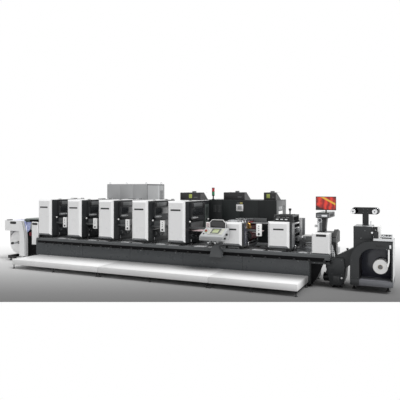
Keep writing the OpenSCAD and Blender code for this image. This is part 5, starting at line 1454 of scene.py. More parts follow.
def make_inspection():
    """Covers, camera column with its lens, and camera head of the inspection station."""
    cover = parts("station_covers")[3]
    kit = Kit("inspection_parts", slot="dark_paint")
    badge(kit, cover.x(0.25), cover.x(0.82), cover.z1 - 0.040, cover.y0, 0.046)
    kit.box((cover.x0 + 0.004, cover.y1 - 0.0005, cover.z0 + 0.02),
            (cover.x1 - 0.004, cover.y1 + 0.002, cover.z1 - 0.014), "black", 0.001)
    kit.row(6, (0, 0, 0.02), (cover.x1 - 0.0005, cover.y0 + 0.05, cover.z0 + 0.08),
            (cover.x1 + 0.002, cover.y1 - 0.05, cover.z0 + 0.089), "grip_grey")
    kit.done()
    column = part("camera_column")
    head = part("camera_head")
    mast = Kit("camera_column_parts", slot="guard_steel")
    x0 = column.x1 - 0.144
    for x, look in ((x0 + 0.004, "bright_steel"), (x0 + 0.052, "dark_steel"), (x0 + 0.100, "soft_black")):
        mast.box((x, column.y0 - 0.012, column.z0 + 0.012),
                 (x + 0.036, column.y0 + 0.002, column.z1 - 0.095), look, 0.004)
    for x in (x0 + 0.043, x0 + 0.091):
        mast.box((x, column.y0 - 0.004, column.z0 + 0.02),
                 (x + 0.007, column.y0 + 0.001, column.z1 - 0.09), "black", 0.001)
    mast.prism([(column.x1 - 0.002, column.z0 + 0.01), (column.x1 + 0.030, column.z1 - 0.004),
                (column.x1 - 0.058, column.z1 - 0.004), (column.x1 - 0.040, column.z0 + 0.01)], "y",
               column.y0 - 0.016, column.y0 + 0.17, "black", 0.004)
    lens = (x0 + 0.050, column.y0 - 0.004, column.z1 - 0.050)
    mast.turned(lens, OPERATOR, [(0, 0.044), (0.020, 0.044), (0.024, 0.041), (0.024, 0.034), (0.010, 0.031),
                                 (0.010, 0)], "silver", 40)
    mast.turned((lens[0], lens[1] - 0.010, lens[2]), OPERATOR,
                [(0, 0.030), (0.003, 0.028), (0.007, 0.018), (0.008, 0)], "lens")
    mast.turned((column.x0 + 0.001, column.y0 + 0.03, column.z0 + 0.122), (-1, 0, 0),
                [(-0.05, 0.010), (-0.014, 0.010), (-0.013, 0.022), (-0.004, 0.024), (0, 0.020), (0, 0)],
                "white_plastic", 28)
    mast.box((x0 - 0.012, column.y0 + 0.01, column.z1 - 0.12),
             (x0 + 0.002, column.y0 + 0.11, column.z1 - 0.02), "silver", 0.003)
    mast.done()
    top = Kit("camera_head_parts", slot="dark_paint")
    top.box((head.x0 + 0.010, head.y0 - 0.003, head.z0 + 0.012),
            (head.x1 - 0.006, head.y0 + 0.002, head.z1 - 0.014), "dark_steel", 0.003)
    top.box((head.x(0.44), head.y0 - 0.006, head.z(0.30)),
            (head.x(0.86), head.y0 - 0.002, head.z(0.66)), "silver")
    top.box((head.x(0.10), head.y0 - 0.006, head.z(0.22)),
            (head.x(0.26), head.y0 - 0.002, head.z(0.40)), "grip_grey")
    top.box((head.x0 + 0.006, head.y0 + 0.006, head.z1 - 0.001),
            (head.x1 - 0.006, head.y1 - 0.006, head.z1 + 0.004), "green_grey", 0.003)
    top.bolts((head.x0 + 0.03, head.x1 - 0.03), (head.y0 + 0.03, head.y1 - 0.03), [head.z1 + 0.004], UP)
    top.row(12, (0, 0.035, 0), (head.x1 - 0.001, head.y0 + 0.14, head.z0 + 0.03),
            (head.x1 + 0.002, head.y0 + 0.156, head.z1 - 0.025), "black")
    top.done()


def make_monitor():
    """Proof screen: bezel, picture, rear shell and neck. It stands for the plain CAD one."""
    b = part("monitor")
    kit = Kit("proof_screen", slot="screen_plastic")
    z0 = b.z1 - 0.268
    rim = 0.011
    kit.box((b.x0, b.y0 + 0.004, z0), (b.x1, b.y1 - 0.010, b.z1), "screen_plastic", 0.005)
    kit.box((b.x0 + rim, b.y0 + 0.0015, z0 + rim * 1.3),
            (b.x1 - rim, b.y0 + 0.006, b.z1 - rim), "screen", 0.0008)
    for x0, x1, low, high in ((b.x0, b.x0 + rim, z0, b.z1), (b.x1 - rim, b.x1, z0, b.z1),
                              (b.x0 + rim * 0.5, b.x1 - rim * 0.5, z0, z0 + rim * 1.3),
                              (b.x0 + rim * 0.5, b.x1 - rim * 0.5, b.z1 - rim, b.z1)):
        kit.box((x0, b.y0, low), (x1, b.y0 + 0.012, high), "screen_plastic", 0.003)
    kit.box((b.x(0.2), b.y1 - 0.014, z0 + 0.05), (b.x(0.8), b.y1, b.z1 - 0.04), "soft_black", 0.006)
    kit.row(10, (0, 0, 0.012), (b.x(0.3), b.y1 - 0.003, z0 + 0.09),
            (b.x(0.7), b.y1, z0 + 0.095), "black", 0.0008)
    kit.turned((b.x(0.5) + 0.002, b.y(0.5), b.z0), UP,
               [(0, 0.019), (0.006, 0.019), (0.009, 0.014), (z0 - b.z0 + 0.01, 0.014)], "soft_black", 24)
    kit.turned((b.x1 - 0.022, b.y0 + 0.0005, z0 + 0.0075), OPERATOR,
               [(0, 0.003), (0.0012, 0.0026), (0.0014, 0)], "green_lens", 12)
    kit.done("monitor")


def make_hopper():
    """Speckled chute and cover plates of the waste hopper."""
    kit = Kit("hopper_parts", slot="black_steel")
    hopper = part("waste_hopper")
    chute_y = hopper.y0 + 0.030
    kit.prism([(hopper.x0 + 0.003, hopper.z0 + 0.262), (hopper.x0 + 0.036, hopper.z0 + 0.190),
               (hopper.x1 - 0.004, hopper.z0 + 0.02), (hopper.x1 - 0.004, hopper.z0 + 0.004),
               (hopper.x0 + 0.003, hopper.z0 + 0.004)], "y",
              chute_y - 0.034, chute_y - 0.029, "speckled", 0.001)
    kit.box((hopper.x1 - 0.001, chute_y + 0.02, hopper.z0 + 0.02),
            (hopper.x1 + 0.002, hopper.y1 - 0.28, hopper.z0 + 0.24), "machine_grey", 0.001)
    kit.box((hopper.x0 + 0.006, chute_y - 0.003, hopper.z0 + 0.285),
            (hopper.x1 - 0.004, chute_y + 0.001, hopper.z0 + 0.365), "machine_grey")
    kit.bolts([hopper.x0 + 0.02], [chute_y - 0.003], (hopper.z0 + 0.30, hopper.z0 + 0.35), OPERATOR, 0.005)
    kit.turned((hopper.x1 - 0.006, hopper.y0 + 0.31, hopper.z1 - 0.004), UP,
               [(-0.02, 0.012), (0.004, 0.012), (0.010, 0.009), (0.014, 0.009), (0.016, 0)], "dark_steel", 20)
    kit.done()


def make_link():
    """Drive casing with its ribbed motor between the line and the rewinder."""
    block = part("link_block")
    strut = part("link_strut")
    tail = part("tail_drive")
    x = block.x0 + 0.190
    # tapered casing in place of the plain CAD one, with its motor boss on the left
    casing = Kit("link_casing", slot="dark_paint")
    casing.prism([(x + 0.001, block.z1), (x + 0.001, tail.z0 - 0.004), (x - 0.095, tail.z0 - 0.004),
                  (x - 0.090, tail.z0 - 0.060), (x - 0.012, block.z0), (block.x1 - 0.035, block.z0),
                  (block.x1 + 0.004, block.z0 + 0.11), (block.x1 + 0.026, block.z1 - 0.16),
                  (block.x1, block.z1)], "y", block.y0, block.y1, "dark_paint", 0.004)
    casing.rod((block.x0, block.y0 + 0.312, 0.150),
               (x + 0.02, block.y0 + 0.312, 0.150), 0.062, "hood_paint", 40)
    casing.done("link_block")
    kit = Kit("link_parts", slot="dark_paint")
    # black gusset on the right of the base's end
    kit.prism([(tail.x0, tail.z0 - 0.001), (tail.x0 + 0.225, tail.z0 - 0.001),
               (tail.x0 + 0.205, tail.z0 - 0.045), (tail.x0 + 0.115, tail.z0 - 0.255),
               (tail.x0 + 0.030, 0.075), (tail.x0, 0.075)], "y", tail.y0, tail.y0 + 0.05, "deep_black", 0.003)
    # motor with ribs on the left of the block
    y = block.y0 + 0.34
    z = block.z0 + 0.088
    for k in range(9):
        kit.turned((block.x0 + 0.012 + k * 0.016, y, z), ALONG,
                   [(0, 0.080), (0, 0.0905), (0.005, 0.0905), (0.005, 0.080)], "hood_paint", 40)
    kit.turned((block.x0 + 0.001, y, z), ALONG, [(0, 0.030), (-0.0005, 0.060), (0.004, 0.076),
            (0.010, 0.080)], "black", 36)
    kit.box((block.x0 + 0.05, y - 0.04, z + 0.085), (block.x0 + 0.13, y + 0.04, z + 0.125), "black", 0.005)
    kit.box((x + 0.006, block.y0 - 0.003, block.z0 + 0.19),
            (block.x1 - 0.012, block.y0 + 0.002, block.z1 - 0.016), "dark_paint", 0.003)
    kit.box((x + 0.05, block.y0 - 0.004, block.z0 + 0.035),
            (block.x1 - 0.075, block.y0 + 0.001, block.z0 + 0.165), "hood_paint", 0.004)
    kit.row(5, (0, 0, 0.020), (x + 0.070, block.y0 - 0.006, block.z0 + 0.055),
            (block.x1 - 0.10, block.y0 - 0.003, block.z0 + 0.063), "black")
    kit.bolts((x + 0.025, block.x1 - 0.03), [block.y0 - 0.003],
              (block.z0 + 0.21, block.z1 - 0.035), OPERATOR, 0.006)
    for share in (0.22, 0.42):
        kit.turned((strut.x(share), strut.y(0.12), block.z1 - 0.002), UP,
                   [(0, 0.010), (0.012, 0.010), (0.016, 0.016), (0.026, 0.016), (0.028, 0.012), (0.028, 0)],
                   "grip_grey", 24)
    kit.turned((strut.x(0.62), strut.y(0.30), strut.z(0.58) + 0.10), UP,
               [(-0.03, 0.014), (0.012, 0.014), (0.018, 0.024), (0.034, 0.022), (0.038, 0.014), (0.038, 0)],
               "black", 24)
    kit.turned((block.x1 - 0.03, block.y0 - 0.002, block.z0 + 0.145), OPERATOR,
               [(0, 0.012), (0.010, 0.012), (0.012, 0.017), (0.020, 0.017), (0.022, 0.012), (0.022, 0)],
               "white_plastic", 24)
    for k in range(3):
        kit.turned((tail.x0 + 0.06 + 0.09 * k, tail.y0 - 0.001, tail.z0 + 0.018), OPERATOR,
                   stud(0.010, 0.004, 0.006, 0.006), "dark_steel", 16)
    kit.turned((tail.x0 + 0.12, tail.y0 + 0.10, tail.z0 - 0.03), UP,
               [(0, 0.022), (0.03, 0.022)], "dark_steel", 20)
    kit.done()


# ---------------------------------------------------------------- rewinder


def roll_profile(inner, outer, length):
    """Profile of a wound roll, whose near end is faintly stepped."""
    steps = 7
    end = [(0.0012 * (k % 2), inner + (outer - inner) * k / steps) for k in range(steps)]
    return end + [(0.0015, outer - 0.0015), (0.004, outer), (length - 0.004, outer), (length, outer - 0.0025),
                  (length, inner)]


def wound_roll(node, name, core, look, sides):
    """Wound paper round a core: gives its kit and solids, the axis and the shaft's radius."""
    paper, shaft = sorted(parts(node), key=lambda solid: -solid.w)
    kit = Kit(name, body=node, slot="paper")
    x = paper.x(0.5)
    z = paper.z(0.5)
    r = shaft.w / 2
    kit.turned((x, paper.y0, z), BACK, roll_profile(r * core, paper.w / 2, paper.d), look, sides)
    return kit, paper, shaft, x, z, r


def make_rewind_roll():
    """Finished roll on its core and expanding shaft."""
    kit, paper, shaft, x, z, r = wound_roll("rewind_roll", "finished_roll", 1.12, "rewind_paper", 96)
    kit.turned((x, paper.y0 - 0.001, z), BACK, [(0.002, r * 0.90), (0, r * 0.94), (0, r * 1.10),
            (0.003, r * 1.13), (paper.d, r * 1.13)], "cork", 64)
    kit.turned((x, shaft.y0, z), BACK, [(0.002, 0), (0.002, r * 0.30), (0, r * 0.34), (0, r * 0.84),
                                        (0.004, r * 0.90), (shaft.d, r * 0.90)], "dark_steel", 48)
    for k, (dx, dz) in enumerate(circle(r * 0.5, 3, math.pi / 2)):
        kit.box((x - 0.007, shaft.y0 - 0.0001, z + r * 0.62), (x + 0.007, shaft.y0 + 0.02, z + r * 0.965),
                "black", 0.002, about((x, 0, z), "Y", 120 * k))
        kit.bolt((x + dx, shaft.y0 + 0.0005, z + dz), OPERATOR, 0.004, "silver", 0.0005)
    kit.done("rewind_roll")


def make_rewinder():
    """Panels of the rewinder's arch, base and housing, its tower and its slitting table."""
    arch = part("rewinder_arch")
    house = part("rewinder_housing")
    base = part("rewinder_base")
    tower = part("rewinder_tower")
    table = part("slitting_table")
    kit = Kit("rewinder_parts", slot="dark_paint")
    post = arch.x0 + 0.160
    # blue-grey back panel inside the arch, in two tones
    kit.box((post + 0.004, arch.y1 - 0.012, arch.z0 + 0.003),
            (arch.x1 - 0.030, arch.y1 - 0.004, arch.z1 - 0.08), "panel_blue")
    kit.box((post + 0.004, arch.y0 + 0.004, arch.z0 - 0.001),
            (arch.x1 - 0.034, arch.y1 - 0.012, arch.z0 + 0.004), "floor_grey")
    kit.box((post + 0.001, arch.y0 + 0.03, arch.z0 + 0.001),
            (post + 0.004, arch.y1 - 0.01, arch.z1 - 0.24), "black", 0.001)
    # badge bar, small lamp and bright edge on the arch's beam
    badge(kit, arch.x(0.62), arch.x(0.83), arch.z1 - 0.075, arch.y0, 0.028)
    kit.box((arch.x1 - 0.060, arch.y0 - 0.003, arch.z1 - 0.110),
            (arch.x1 - 0.030, arch.y0 + 0.001, arch.z1 - 0.050), "silver")
    for x, z in ((arch.x0 + 0.03, arch.z0 + 0.04), (arch.x0 + 0.13, arch.z0 + 0.04),
                 (arch.x1 - 0.02, arch.z0 + 0.05), (arch.x0 + 0.03, arch.z(0.5)),
                 (arch.x1 - 0.02, arch.z(0.5))):
        kit.bolt((x, arch.y0, z), OPERATOR, 0.006)
    # base trim
    kit.box((base.x0 + 0.165, base.y0 - 0.003, base.z0 + 0.010),
            (base.x1 - 0.006, base.y0 + 0.001, base.z1 - 0.010), "base_grey", 0.003)
    kit.box((base.x0 + 0.002, base.y0 - 0.003, base.z0 + 0.002),
            (base.x0 + 0.160, base.y0 + 0.001, base.z1 + 0.002), "dark_paint", 0.003)
    # rear doors and vents of the housing
    for x0, x1 in leaves(house.x0 + 0.015, house.w - 0.03, 2, 0.006):
        kit.box((x0, house.y1 - 0.002, house.z0 + 0.02), (x1, house.y1, house.z1 - 0.03), "machine_grey")
        louvres(kit, x0 + 0.05, x1 - 0.05, house.z0 + 0.10, 8, house.y1 - 0.002, 0.020)
    # web from the table down to the roll
    web = [w for w in parts("paper_web") if w.x0 > arch.x0][0]
    kit.box((web.x0 - 0.001, web.y0 - 0.008, web.z1 - 0.03),
            (web.x1 + 0.003, web.y1 + 0.004, web.z1 + 0.03), "silver", 0.004)
    # white sheet beside the web, kept bright by its painted glow
    kit.prism([(web.x0 - 0.022, web.z0 + 0.020), (web.x0 + 0.006, web.z0 + 0.004),
               (web.x1 + 0.028, web.z0 + 0.10), (web.x1 + 0.030, web.z1 + 0.004),
               (web.x1 + 0.002, web.z1 + 0.004), (web.x1 + 0.002, web.z0 + 0.11)], "y", web.y0 - 0.016,
              web.y0 - 0.008, "white_with_painted_glow", 0.002)
    kit.rod((web.x0 - 0.020, web.y0 - 0.010, web.z1 + 0.012),
            (web.x0 - 0.020, web.y1 + 0.036, web.z1 + 0.012), 0.020, "chrome", 32)
    kit.done()

    # tower: cover plates, two caps, a hand wheel with its crank, and the post and box on its right
    upper = Kit("tower_parts", slot="dark_paint")
    upper.box((tower.x0 + 0.010, tower.y0 - 0.003, arch.z1 + 0.02),
              (tower.x1 - 0.012, tower.y0 + 0.001, tower.z1 - 0.014), "dark_paint", 0.003)
    upper.box((tower.x0 + 0.006, tower.y0 + 0.006, tower.z1 - 0.001),
              (tower.x1 - 0.006, tower.y1 - 0.006, tower.z1 + 0.004), "grip_grey", 0.003)
    for x, z in ((tower.x(0.42), arch.z1 + 0.045), (tower.x(0.63), tower.z1 - 0.075)):
        upper.turned((x, tower.y0 - 0.002, z), OPERATOR, stud(0.009, 0.006, 0.0072, 0.008), "mid_grey", 24)
    wheel_x = tower.x1 + 0.020
    wheel_y = tower.y0 - 0.012
    upper.turned((wheel_x, wheel_y + 0.030, tower.z1 - 0.105), OPERATOR,
                 [(0, 0.060), (0.018, 0.064), (0.022, 0.060), (0.022, 0.030), (0.030, 0.026), (0.030, 0)],
                 "black", 40)
    upper.turned((wheel_x - 0.012, wheel_y - 0.001, tower.z1 - 0.105), OPERATOR,
                 [(0, 0.020), (0.016, 0.018), (0.018, 0.012), (0.018, 0)], "chrome", 28)
    upper.tube([(wheel_x + 0.022, wheel_y - 0.004, tower.z1 - 0.190),
                (wheel_x + 0.052, wheel_y - 0.010, tower.z1 - 0.215),
                (wheel_x + 0.060, wheel_y - 0.012, tower.z1 - 0.245),
                (wheel_x + 0.040, wheel_y - 0.008, tower.z1 - 0.275)], 0.013, "silver", 14, 8)
    upper.rod((tower.x1 + 0.006, tower.y0 + 0.02, arch.z1 + 0.03),
              (tower.x1 + 0.006, tower.y0 + 0.02, tower.z1 - 0.03), 0.015, "black", 24)
    upper.turned((tower.x1 - 0.02, tower.y0 + 0.05, tower.z1), UP,
                 [(0, 0.016), (0.026, 0.016), (0.030, 0.011), (0.085, 0.010), (0.088, 0.014), (0.100, 0.014),
                  (0.102, 0)], "silver", 24)
    upper.box((tower.x1 - 0.075, tower.y0 + 0.01, tower.z1 - 0.002),
              (tower.x1 + 0.03, tower.y0 + 0.09, tower.z1 + 0.012), "silver", 0.004)
    upper.box((tower.x1 + 0.012, tower.y0 + 0.02, tower.z1 - 0.055),
              (tower.x1 + 0.10, tower.y0 + 0.12, tower.z1 - 0.004), "black", 0.006)
    upper.done()

    # slitting table: pale top sheet, knife knobs, nip plate
    bench = Kit("slitting_parts", slot="bright_steel")
    nip_x0 = table.x0 + 0.070
    nip_x1 = nip_x0 + 0.045
    low = table.z0 + 0.052
    bench.box((table.x0 + 0.004, table.y0 + 0.004, low - 0.001),
              (table.x1 - 0.006, table.y1 - 0.004, low + 0.004), "white_plastic")
    for x0, x1, y0, y1, z0, z1, look, bevel in ((nip_x0 - 0.002, nip_x1 + 0.002, 0.036, 0.324, low + 0.02,
            table.z1 + 0.001, "white_plastic", 0.004), (nip_x0 - 0.030, nip_x0 - 0.004, 0.034, 0.060, low,
            table.z1 - 0.06, "black", 0.004), (table.x0 + 0.004, nip_x0 + 0.012, 0.010, 0.030, low + 0.003,
            table.z1 - 0.09, "soft_black", 0.006), (nip_x1 + 0.020, table.x1 - 0.030, 0.034, 0.120,
            low + 0.004, low + 0.024, "machine_grey", 0.004), (nip_x1 + 0.010, table.x1 - 0.020, 0.200, 0.330,
            low + 0.004, low + 0.060, "grip_grey", 0.006), (table.x1 - 0.026, table.x1 - 0.008, 0.02, 0.20,
            low + 0.002, low + 0.058, "silver", 0.004)):
        bench.box((x0, table.y0 + y0, z0), (x1, table.y0 + y1, z1), look, bevel)
    for y, look in ((table.y0 + 0.05, "chrome"), (table.y0 + 0.16, "dark_steel")):
        bench.rod((nip_x1 + 0.02, y, low + 0.035), (table.x1 - 0.012, y, low + 0.035), 0.012, look, 24)
    for k in range(3):
        x = nip_x1 + 0.055 + k * 0.052
        bench.box((x - 0.012, table.y0 + 0.040, low + 0.020),
                  (x + 0.012, table.y0 + 0.068, low + 0.050), "dark_steel", 0.003)
        bench.turned((x, table.y0 + 0.052, low + 0.048), UP,
                     [(0, 0.006), (0.008, 0.006), (0.010, 0.013), (0.024, 0.012), (0.026, 0.008), (0.026, 0)],
                     "black" if k else "silver", 20)
    bench.box((table.x0 - 0.02, table.y0 - 0.002, table.z0),
              (table.x1 - 0.002, table.y0 + 0.001, table.z0 + 0.016), "black")
    bench.done()


def make_dancer():
    """Scale arc, bearings and screws of the dancer's head, and its two bright rollers."""
    head = part("dancer_head")
    kit = Kit("dancer_parts", slot="black_steel")
    rollers = [part("dancer_roller_left"), part("dancer_roller_right")]
    for roller in rollers:
        x = roller.x(0.5)
        z = roller.z(0.5)
        kit.turned((x, head.y0, z), OPERATOR, [(0, 0.052), (0.0, 0.056), (-0.003, 0.058)], "dark_steel", 36)
        kit.turned((x, head.y1, z), BACK, stud(0.030, 0.008, 0.022, 0.012), "dark_steel", 28)
    middle = head.z1 - 0.065
    arc = [(rollers[1].x(0.5) + 0.054 * math.sin(math.radians(a)), head.y0 - 0.0015,
            middle + 0.054 * math.cos(math.radians(a))) for a in range(-20, 131, 15)]
    kit.tube(arc, 0.0035, "silver", 8, 3)
    kit.bolts((head.x(0.42), head.x(0.58)), [head.y0],
              (middle - 0.03, middle + 0.03, head.z0 + 0.03), OPERATOR)
    kit.done()
    for node, roller in zip(("dancer_roller_left", "dancer_roller_right"), rollers):
        x = roller.x(0.5)
        z = roller.z(0.5)
        r = roller.w / 2
        dressed = Kit(node + "_dressed", body=node, slot="chrome")
        dressed.turned((x, roller.y0, z), BACK, [(0.003, r * 0.55), (0.002, r * 0.84), (0.0, r * 0.88),
                (0.0, r * 0.97), (0.002, r), (roller.d - 0.003, r), (roller.d, r * 0.96), (roller.d, 0)],
                       "chrome", 64)
        dressed.turned((x, roller.y0 + 0.001, z), BACK, [(0, 0), (0, r * 0.26), (0.003, r * 0.30),
                (0.003, r * 0.56)], "dark_steel", 40)
        for dx, dz in circle(r * 0.42, 3):
            dressed.bolt((x + dx, roller.y0 + 0.004, z + dz), OPERATOR, 0.005, "silver", 0.003)
        dressed.done(node)


# ---------------------------------------------------------------- unwinder


def oval_badge(kit, x0, x1, z, y, tall):
    """A dark name plate with round ends, left bare."""
    r = tall / 2
    outline = []
    for side, middle in ((1, x1 - r), (-1, x0 + r)):
        for k in range(9):
            a = math.radians(90 - 22.5 * k) if side > 0 else math.radians(270 - 22.5 * k)
            outline.append((middle + r * math.cos(a), z + r * math.sin(a)))
    kit.prism(outline, "y", y - 0.003, y + 0.001, "black", 0.001)


def make_unwinder():
    """Leaning column with its badge, the infeed's hood and side panels, and the red infeed roller."""
    body = part("unwinder_frame")
    house = part("unwinder_housing")
    base = part("unwinder_base")
    infeed = part("infeed_body")
    nip = part("infeed_roller")
    cover = parts("station_covers")[0]
    kit = Kit("unwinder_parts", slot="white_paint")
    arm_z = body.z1 - 0.268
    oval_badge(kit, body.x(0.25), body.x(0.55), body.z1 - 0.058, body.y0, 0.062)
    oval_badge(kit, cover.x(0.12), cover.x1 - 0.006, cover.z1 - 0.050, cover.y0, 0.056)
    # rolled return down the right edge of the column, which leans in towards its top: a flat strip painted
    # grey as the shade of the rounded edge
    inner = []
    outer = []
    steps = 12
    for k in range(steps + 1):
        t = k / steps
        z = body.z0 + t * (body.h - 0.002)
        inner.append((body.x1 - 0.020 - 0.114 * t ** 3.4, z))
        outer.append((body.x1 + 0.032 - 0.090 * t ** 3.4, z))
    kit.prism(inner + outer[::-1], "y", body.y0 - 0.0015, body.y0 + 0.055, "edge_shade_grey", 0.003)
    leaning = [point for point in outer if point[0] < body.x1]
    kit.prism(leaning + [(body.x1 + 0.003, leaning[-1][1]), (body.x1 + 0.003, leaning[0][1])], "y",
              body.y0 - 0.0012, body.y0 + 0.003, "web_print", 0.0)
    for rim in (inner, outer):
        kit.tube([(x, body.y0 - 0.0015, z) for x, z in rim], 0.0045, "mid_grey", 8, 3)
    for x, z in ((body.x0 + 0.03, body.z1 - 0.03), (body.x0 + 0.03, arm_z + 0.03),
                 (body.x1 - 0.20, body.z0 + 0.04)):
        kit.bolt((x, body.y0, z), OPERATOR, 0.006, "silver")
    # panels and vents of the housing behind the column
    kit.box((house.x0 + 0.01, house.y0 - 0.003, house.z0 + 0.01),
            (house.x1 - 0.01, house.y0 + 0.001, house.z1 - 0.02), "white_paint")
    kit.box((house.x0 - 0.001, house.y0 + 0.02, house.z0 + 0.02),
            (house.x0 + 0.002, house.y1 - 0.02, house.z1 - 0.02), "white_paint")
    louvres(kit, house.x0 + 0.12, house.x1 - 0.12, house.z0 + 0.12, 10, house.y1)
    kit.box((house.x0 + 0.02, house.y1 - 0.001, house.z0 + 0.36),
            (house.x1 - 0.02, house.y1 + 0.002, house.z1 - 0.03), "white_paint")
    # base rail
    kit.box((base.x0 + 0.006, base.y0 - 0.002, base.z0 + 0.008),
            (base.x0 + 0.30, base.y0 + 0.001, base.z1 - 0.008), "black")
    kit.done()
    # roller cover over the infeed, grey patch and frame plates round the nip
    top = Kit("infeed_parts", slot="black_steel")
    hood_z = infeed.z1
    profile = [(cover.y0 + 0.032, hood_z - 0.05), (cover.y0 + 0.036, hood_z + 0.020),
               (cover.y0 + 0.10, hood_z + 0.036), (cover.y0 + 0.50, hood_z + 0.036),
               (cover.y0 + 0.56, hood_z + 0.020), (cover.y0 + 0.58, hood_z - 0.05)]
    top.prism(profile, "x", infeed.x0 - 0.08, cover.x1 - 0.004, "green_grey", 0.006)
    top.box((infeed.x0 + 0.115, cover.y0 + 0.026, hood_z - 0.048),
            (cover.x1 - 0.004, cover.y0 + 0.034, hood_z + 0.016), "deep_black", 0.003)
    # black sheets painted as the shade in an opening beside the nip, with a printed web slanting down into it
    top.box((infeed.x0 + 0.002, infeed.y0 - 0.006, infeed.z0 + 0.02),
            (cover.x0 + 0.002, infeed.y0 + 0.001, hood_z - 0.004), "deep_black")
    top.box((cover.x0, infeed.y0 - 0.006, infeed.z0 + 0.02),
            (cover.x1 - 0.002, infeed.y0 + 0.001, cover.z0 - 0.004), "deep_black")
    top.prism([(infeed.x0 - 0.098, hood_z + 0.004), (infeed.x0 + 0.142, hood_z + 0.004),
               (infeed.x0 + 0.149, hood_z - 0.075), (infeed.x0 + 0.101, hood_z - 0.244),
               (infeed.x0 + 0.019, hood_z - 0.324), (infeed.x0 - 0.014, hood_z - 0.324),
               (infeed.x0 - 0.060, hood_z - 0.20)], "y",
              infeed.y0 - 0.012, infeed.y0 - 0.008, "web_print", 0.001)
    top.box((infeed.x0 + 0.125, infeed.y0 - 0.018, hood_z - 0.245),
            (cover.x0 - 0.008, infeed.y0 - 0.005, hood_z - 0.085), "grip_grey", 0.003)
    top.turned((infeed.x0 + 0.130, infeed.y0 - 0.006, hood_z - 0.360), OPERATOR,
               [(-0.002, 0.052), (0.012, 0.052), (0.016, 0.047), (0.016, 0.020), (0.024, 0.017), (0.024, 0)],
               "red_rubber", 40)
    top.box((nip.x0 + 0.010, nip.y0 - 0.024, nip.z0 - 0.028),
            (nip.x1 - 0.010, nip.y0 - 0.008, nip.z0 - 0.008), "green_grey", 0.003)
    top.done()
    # the infeed roller itself
    red = Kit("infeed_roller_dressed", body="infeed_roller", slot="red_rubber")
    r = nip.w / 2
    red.turned((nip.x(0.5), nip.y0, nip.z(0.5)), BACK, [(0.004, 0), (0.004, r * 0.24), (0.0, r * 0.28),
            (0.0, r * 0.50), (0.008, r * 0.56), (0.008, r * 0.90), (0.011, r), (nip.d - 0.010, r),
            (nip.d - 0.006, r * 0.92), (nip.d, r * 0.5), (nip.d, 0)], "red_rubber", 64)
    red.done("infeed_roller")


def make_unwind_roll():
    """Supply roll on its core, with the air shaft that carries it."""
    kit, paper, shaft, x, z, r = wound_roll("unwind_roll", "supply_roll", 1.1, "unwind_paper", 128)
    kit.turned((x, paper.y0 - 0.002, z), BACK, [(0.003, r * 0.9), (0, r * 0.94), (0, r * 1.08),
            (0.004, r * 1.12), (paper.d, r * 1.12)], "cork", 64)
    kit.turned((x, shaft.y0, z), BACK, [(0.004, 0), (0.004, r * 0.3), (0, r * 0.4), (0, r * 0.80),
                                        (0.004, r * 0.88), (shaft.d, r * 0.88)], "dark_steel", 48)
    for dx, dz in circle(r * 0.6, 6):
        kit.bolt((x + dx, shaft.y0 + 0.001, z + dz), OPERATOR, 0.005, "silver", 0.0008)
    # air shaft that reaches out towards the operator, with its dark end knob
    kit.rod((x, shaft.y0 + 0.004, z), (x, shaft.y0 - 0.170, z), r * 0.62, "grip_grey", 32)
    kit.turned((x, shaft.y0 - 0.166, z), OPERATOR, [(0, r * 0.62), (0.002, r * 0.80), (0.046, r * 0.80),
            (0.052, r * 0.70), (0.052, 0)], "black")
    kit.done("unwind_roll")


def make_web():
    """Web runs of the unwinder and the rewinder, in place of the plain CAD sheets."""
    kit = Kit("web_runs", slot="paper")
    thin = 0.005
    for strip in parts("paper_web"):
        if strip.w < thin or strip.h < thin:
            kit.box(*strip.corners, "paper" if strip.w < thin else "lilac_web", 0.0)
        else:
            kit.prism([(strip.x0, strip.z1), (strip.x1, strip.z0), (strip.x1 - 0.001, strip.z0),
                       (strip.x0 - 0.001, strip.z1)], "y", strip.y0, strip.y1, "web_print", 0.0)
    kit.done("paper_web")
    bars = Kit("web_bars", slot="chrome")
    for bar in parts("guide_bars")[:2]:
        r = bar.w / 2
        bars.turned((bar.x(0.5), bar.y0 + 0.001, bar.z(0.5)), BACK,
                    [(0, r * 0.3), (0.002, r), (bar.d - 0.004, r), (bar.d - 0.002, r * 0.3)], "chrome", 40)
        for y in (bar.y0 + 0.006, bar.y1 - 0.026):
            bars.turned((bar.x(0.5), y, bar.z(0.5)), BACK, [(0, r), (0.002, r * 1.14), (0.018, r * 1.14),
                    (0.020, r)], "dark_steel", 40)
    body = part("unwinder_frame")
    bars.box((body.x0 + 0.04, body.y0 + 0.02, body.z1 - 0.001),
             (body.x0 + 0.12, body.y1 + 0.05, body.z1 + 0.020), "dark_steel", 0.004)
    bars.done()


# ---------------------------------------------------------------- rear of the line


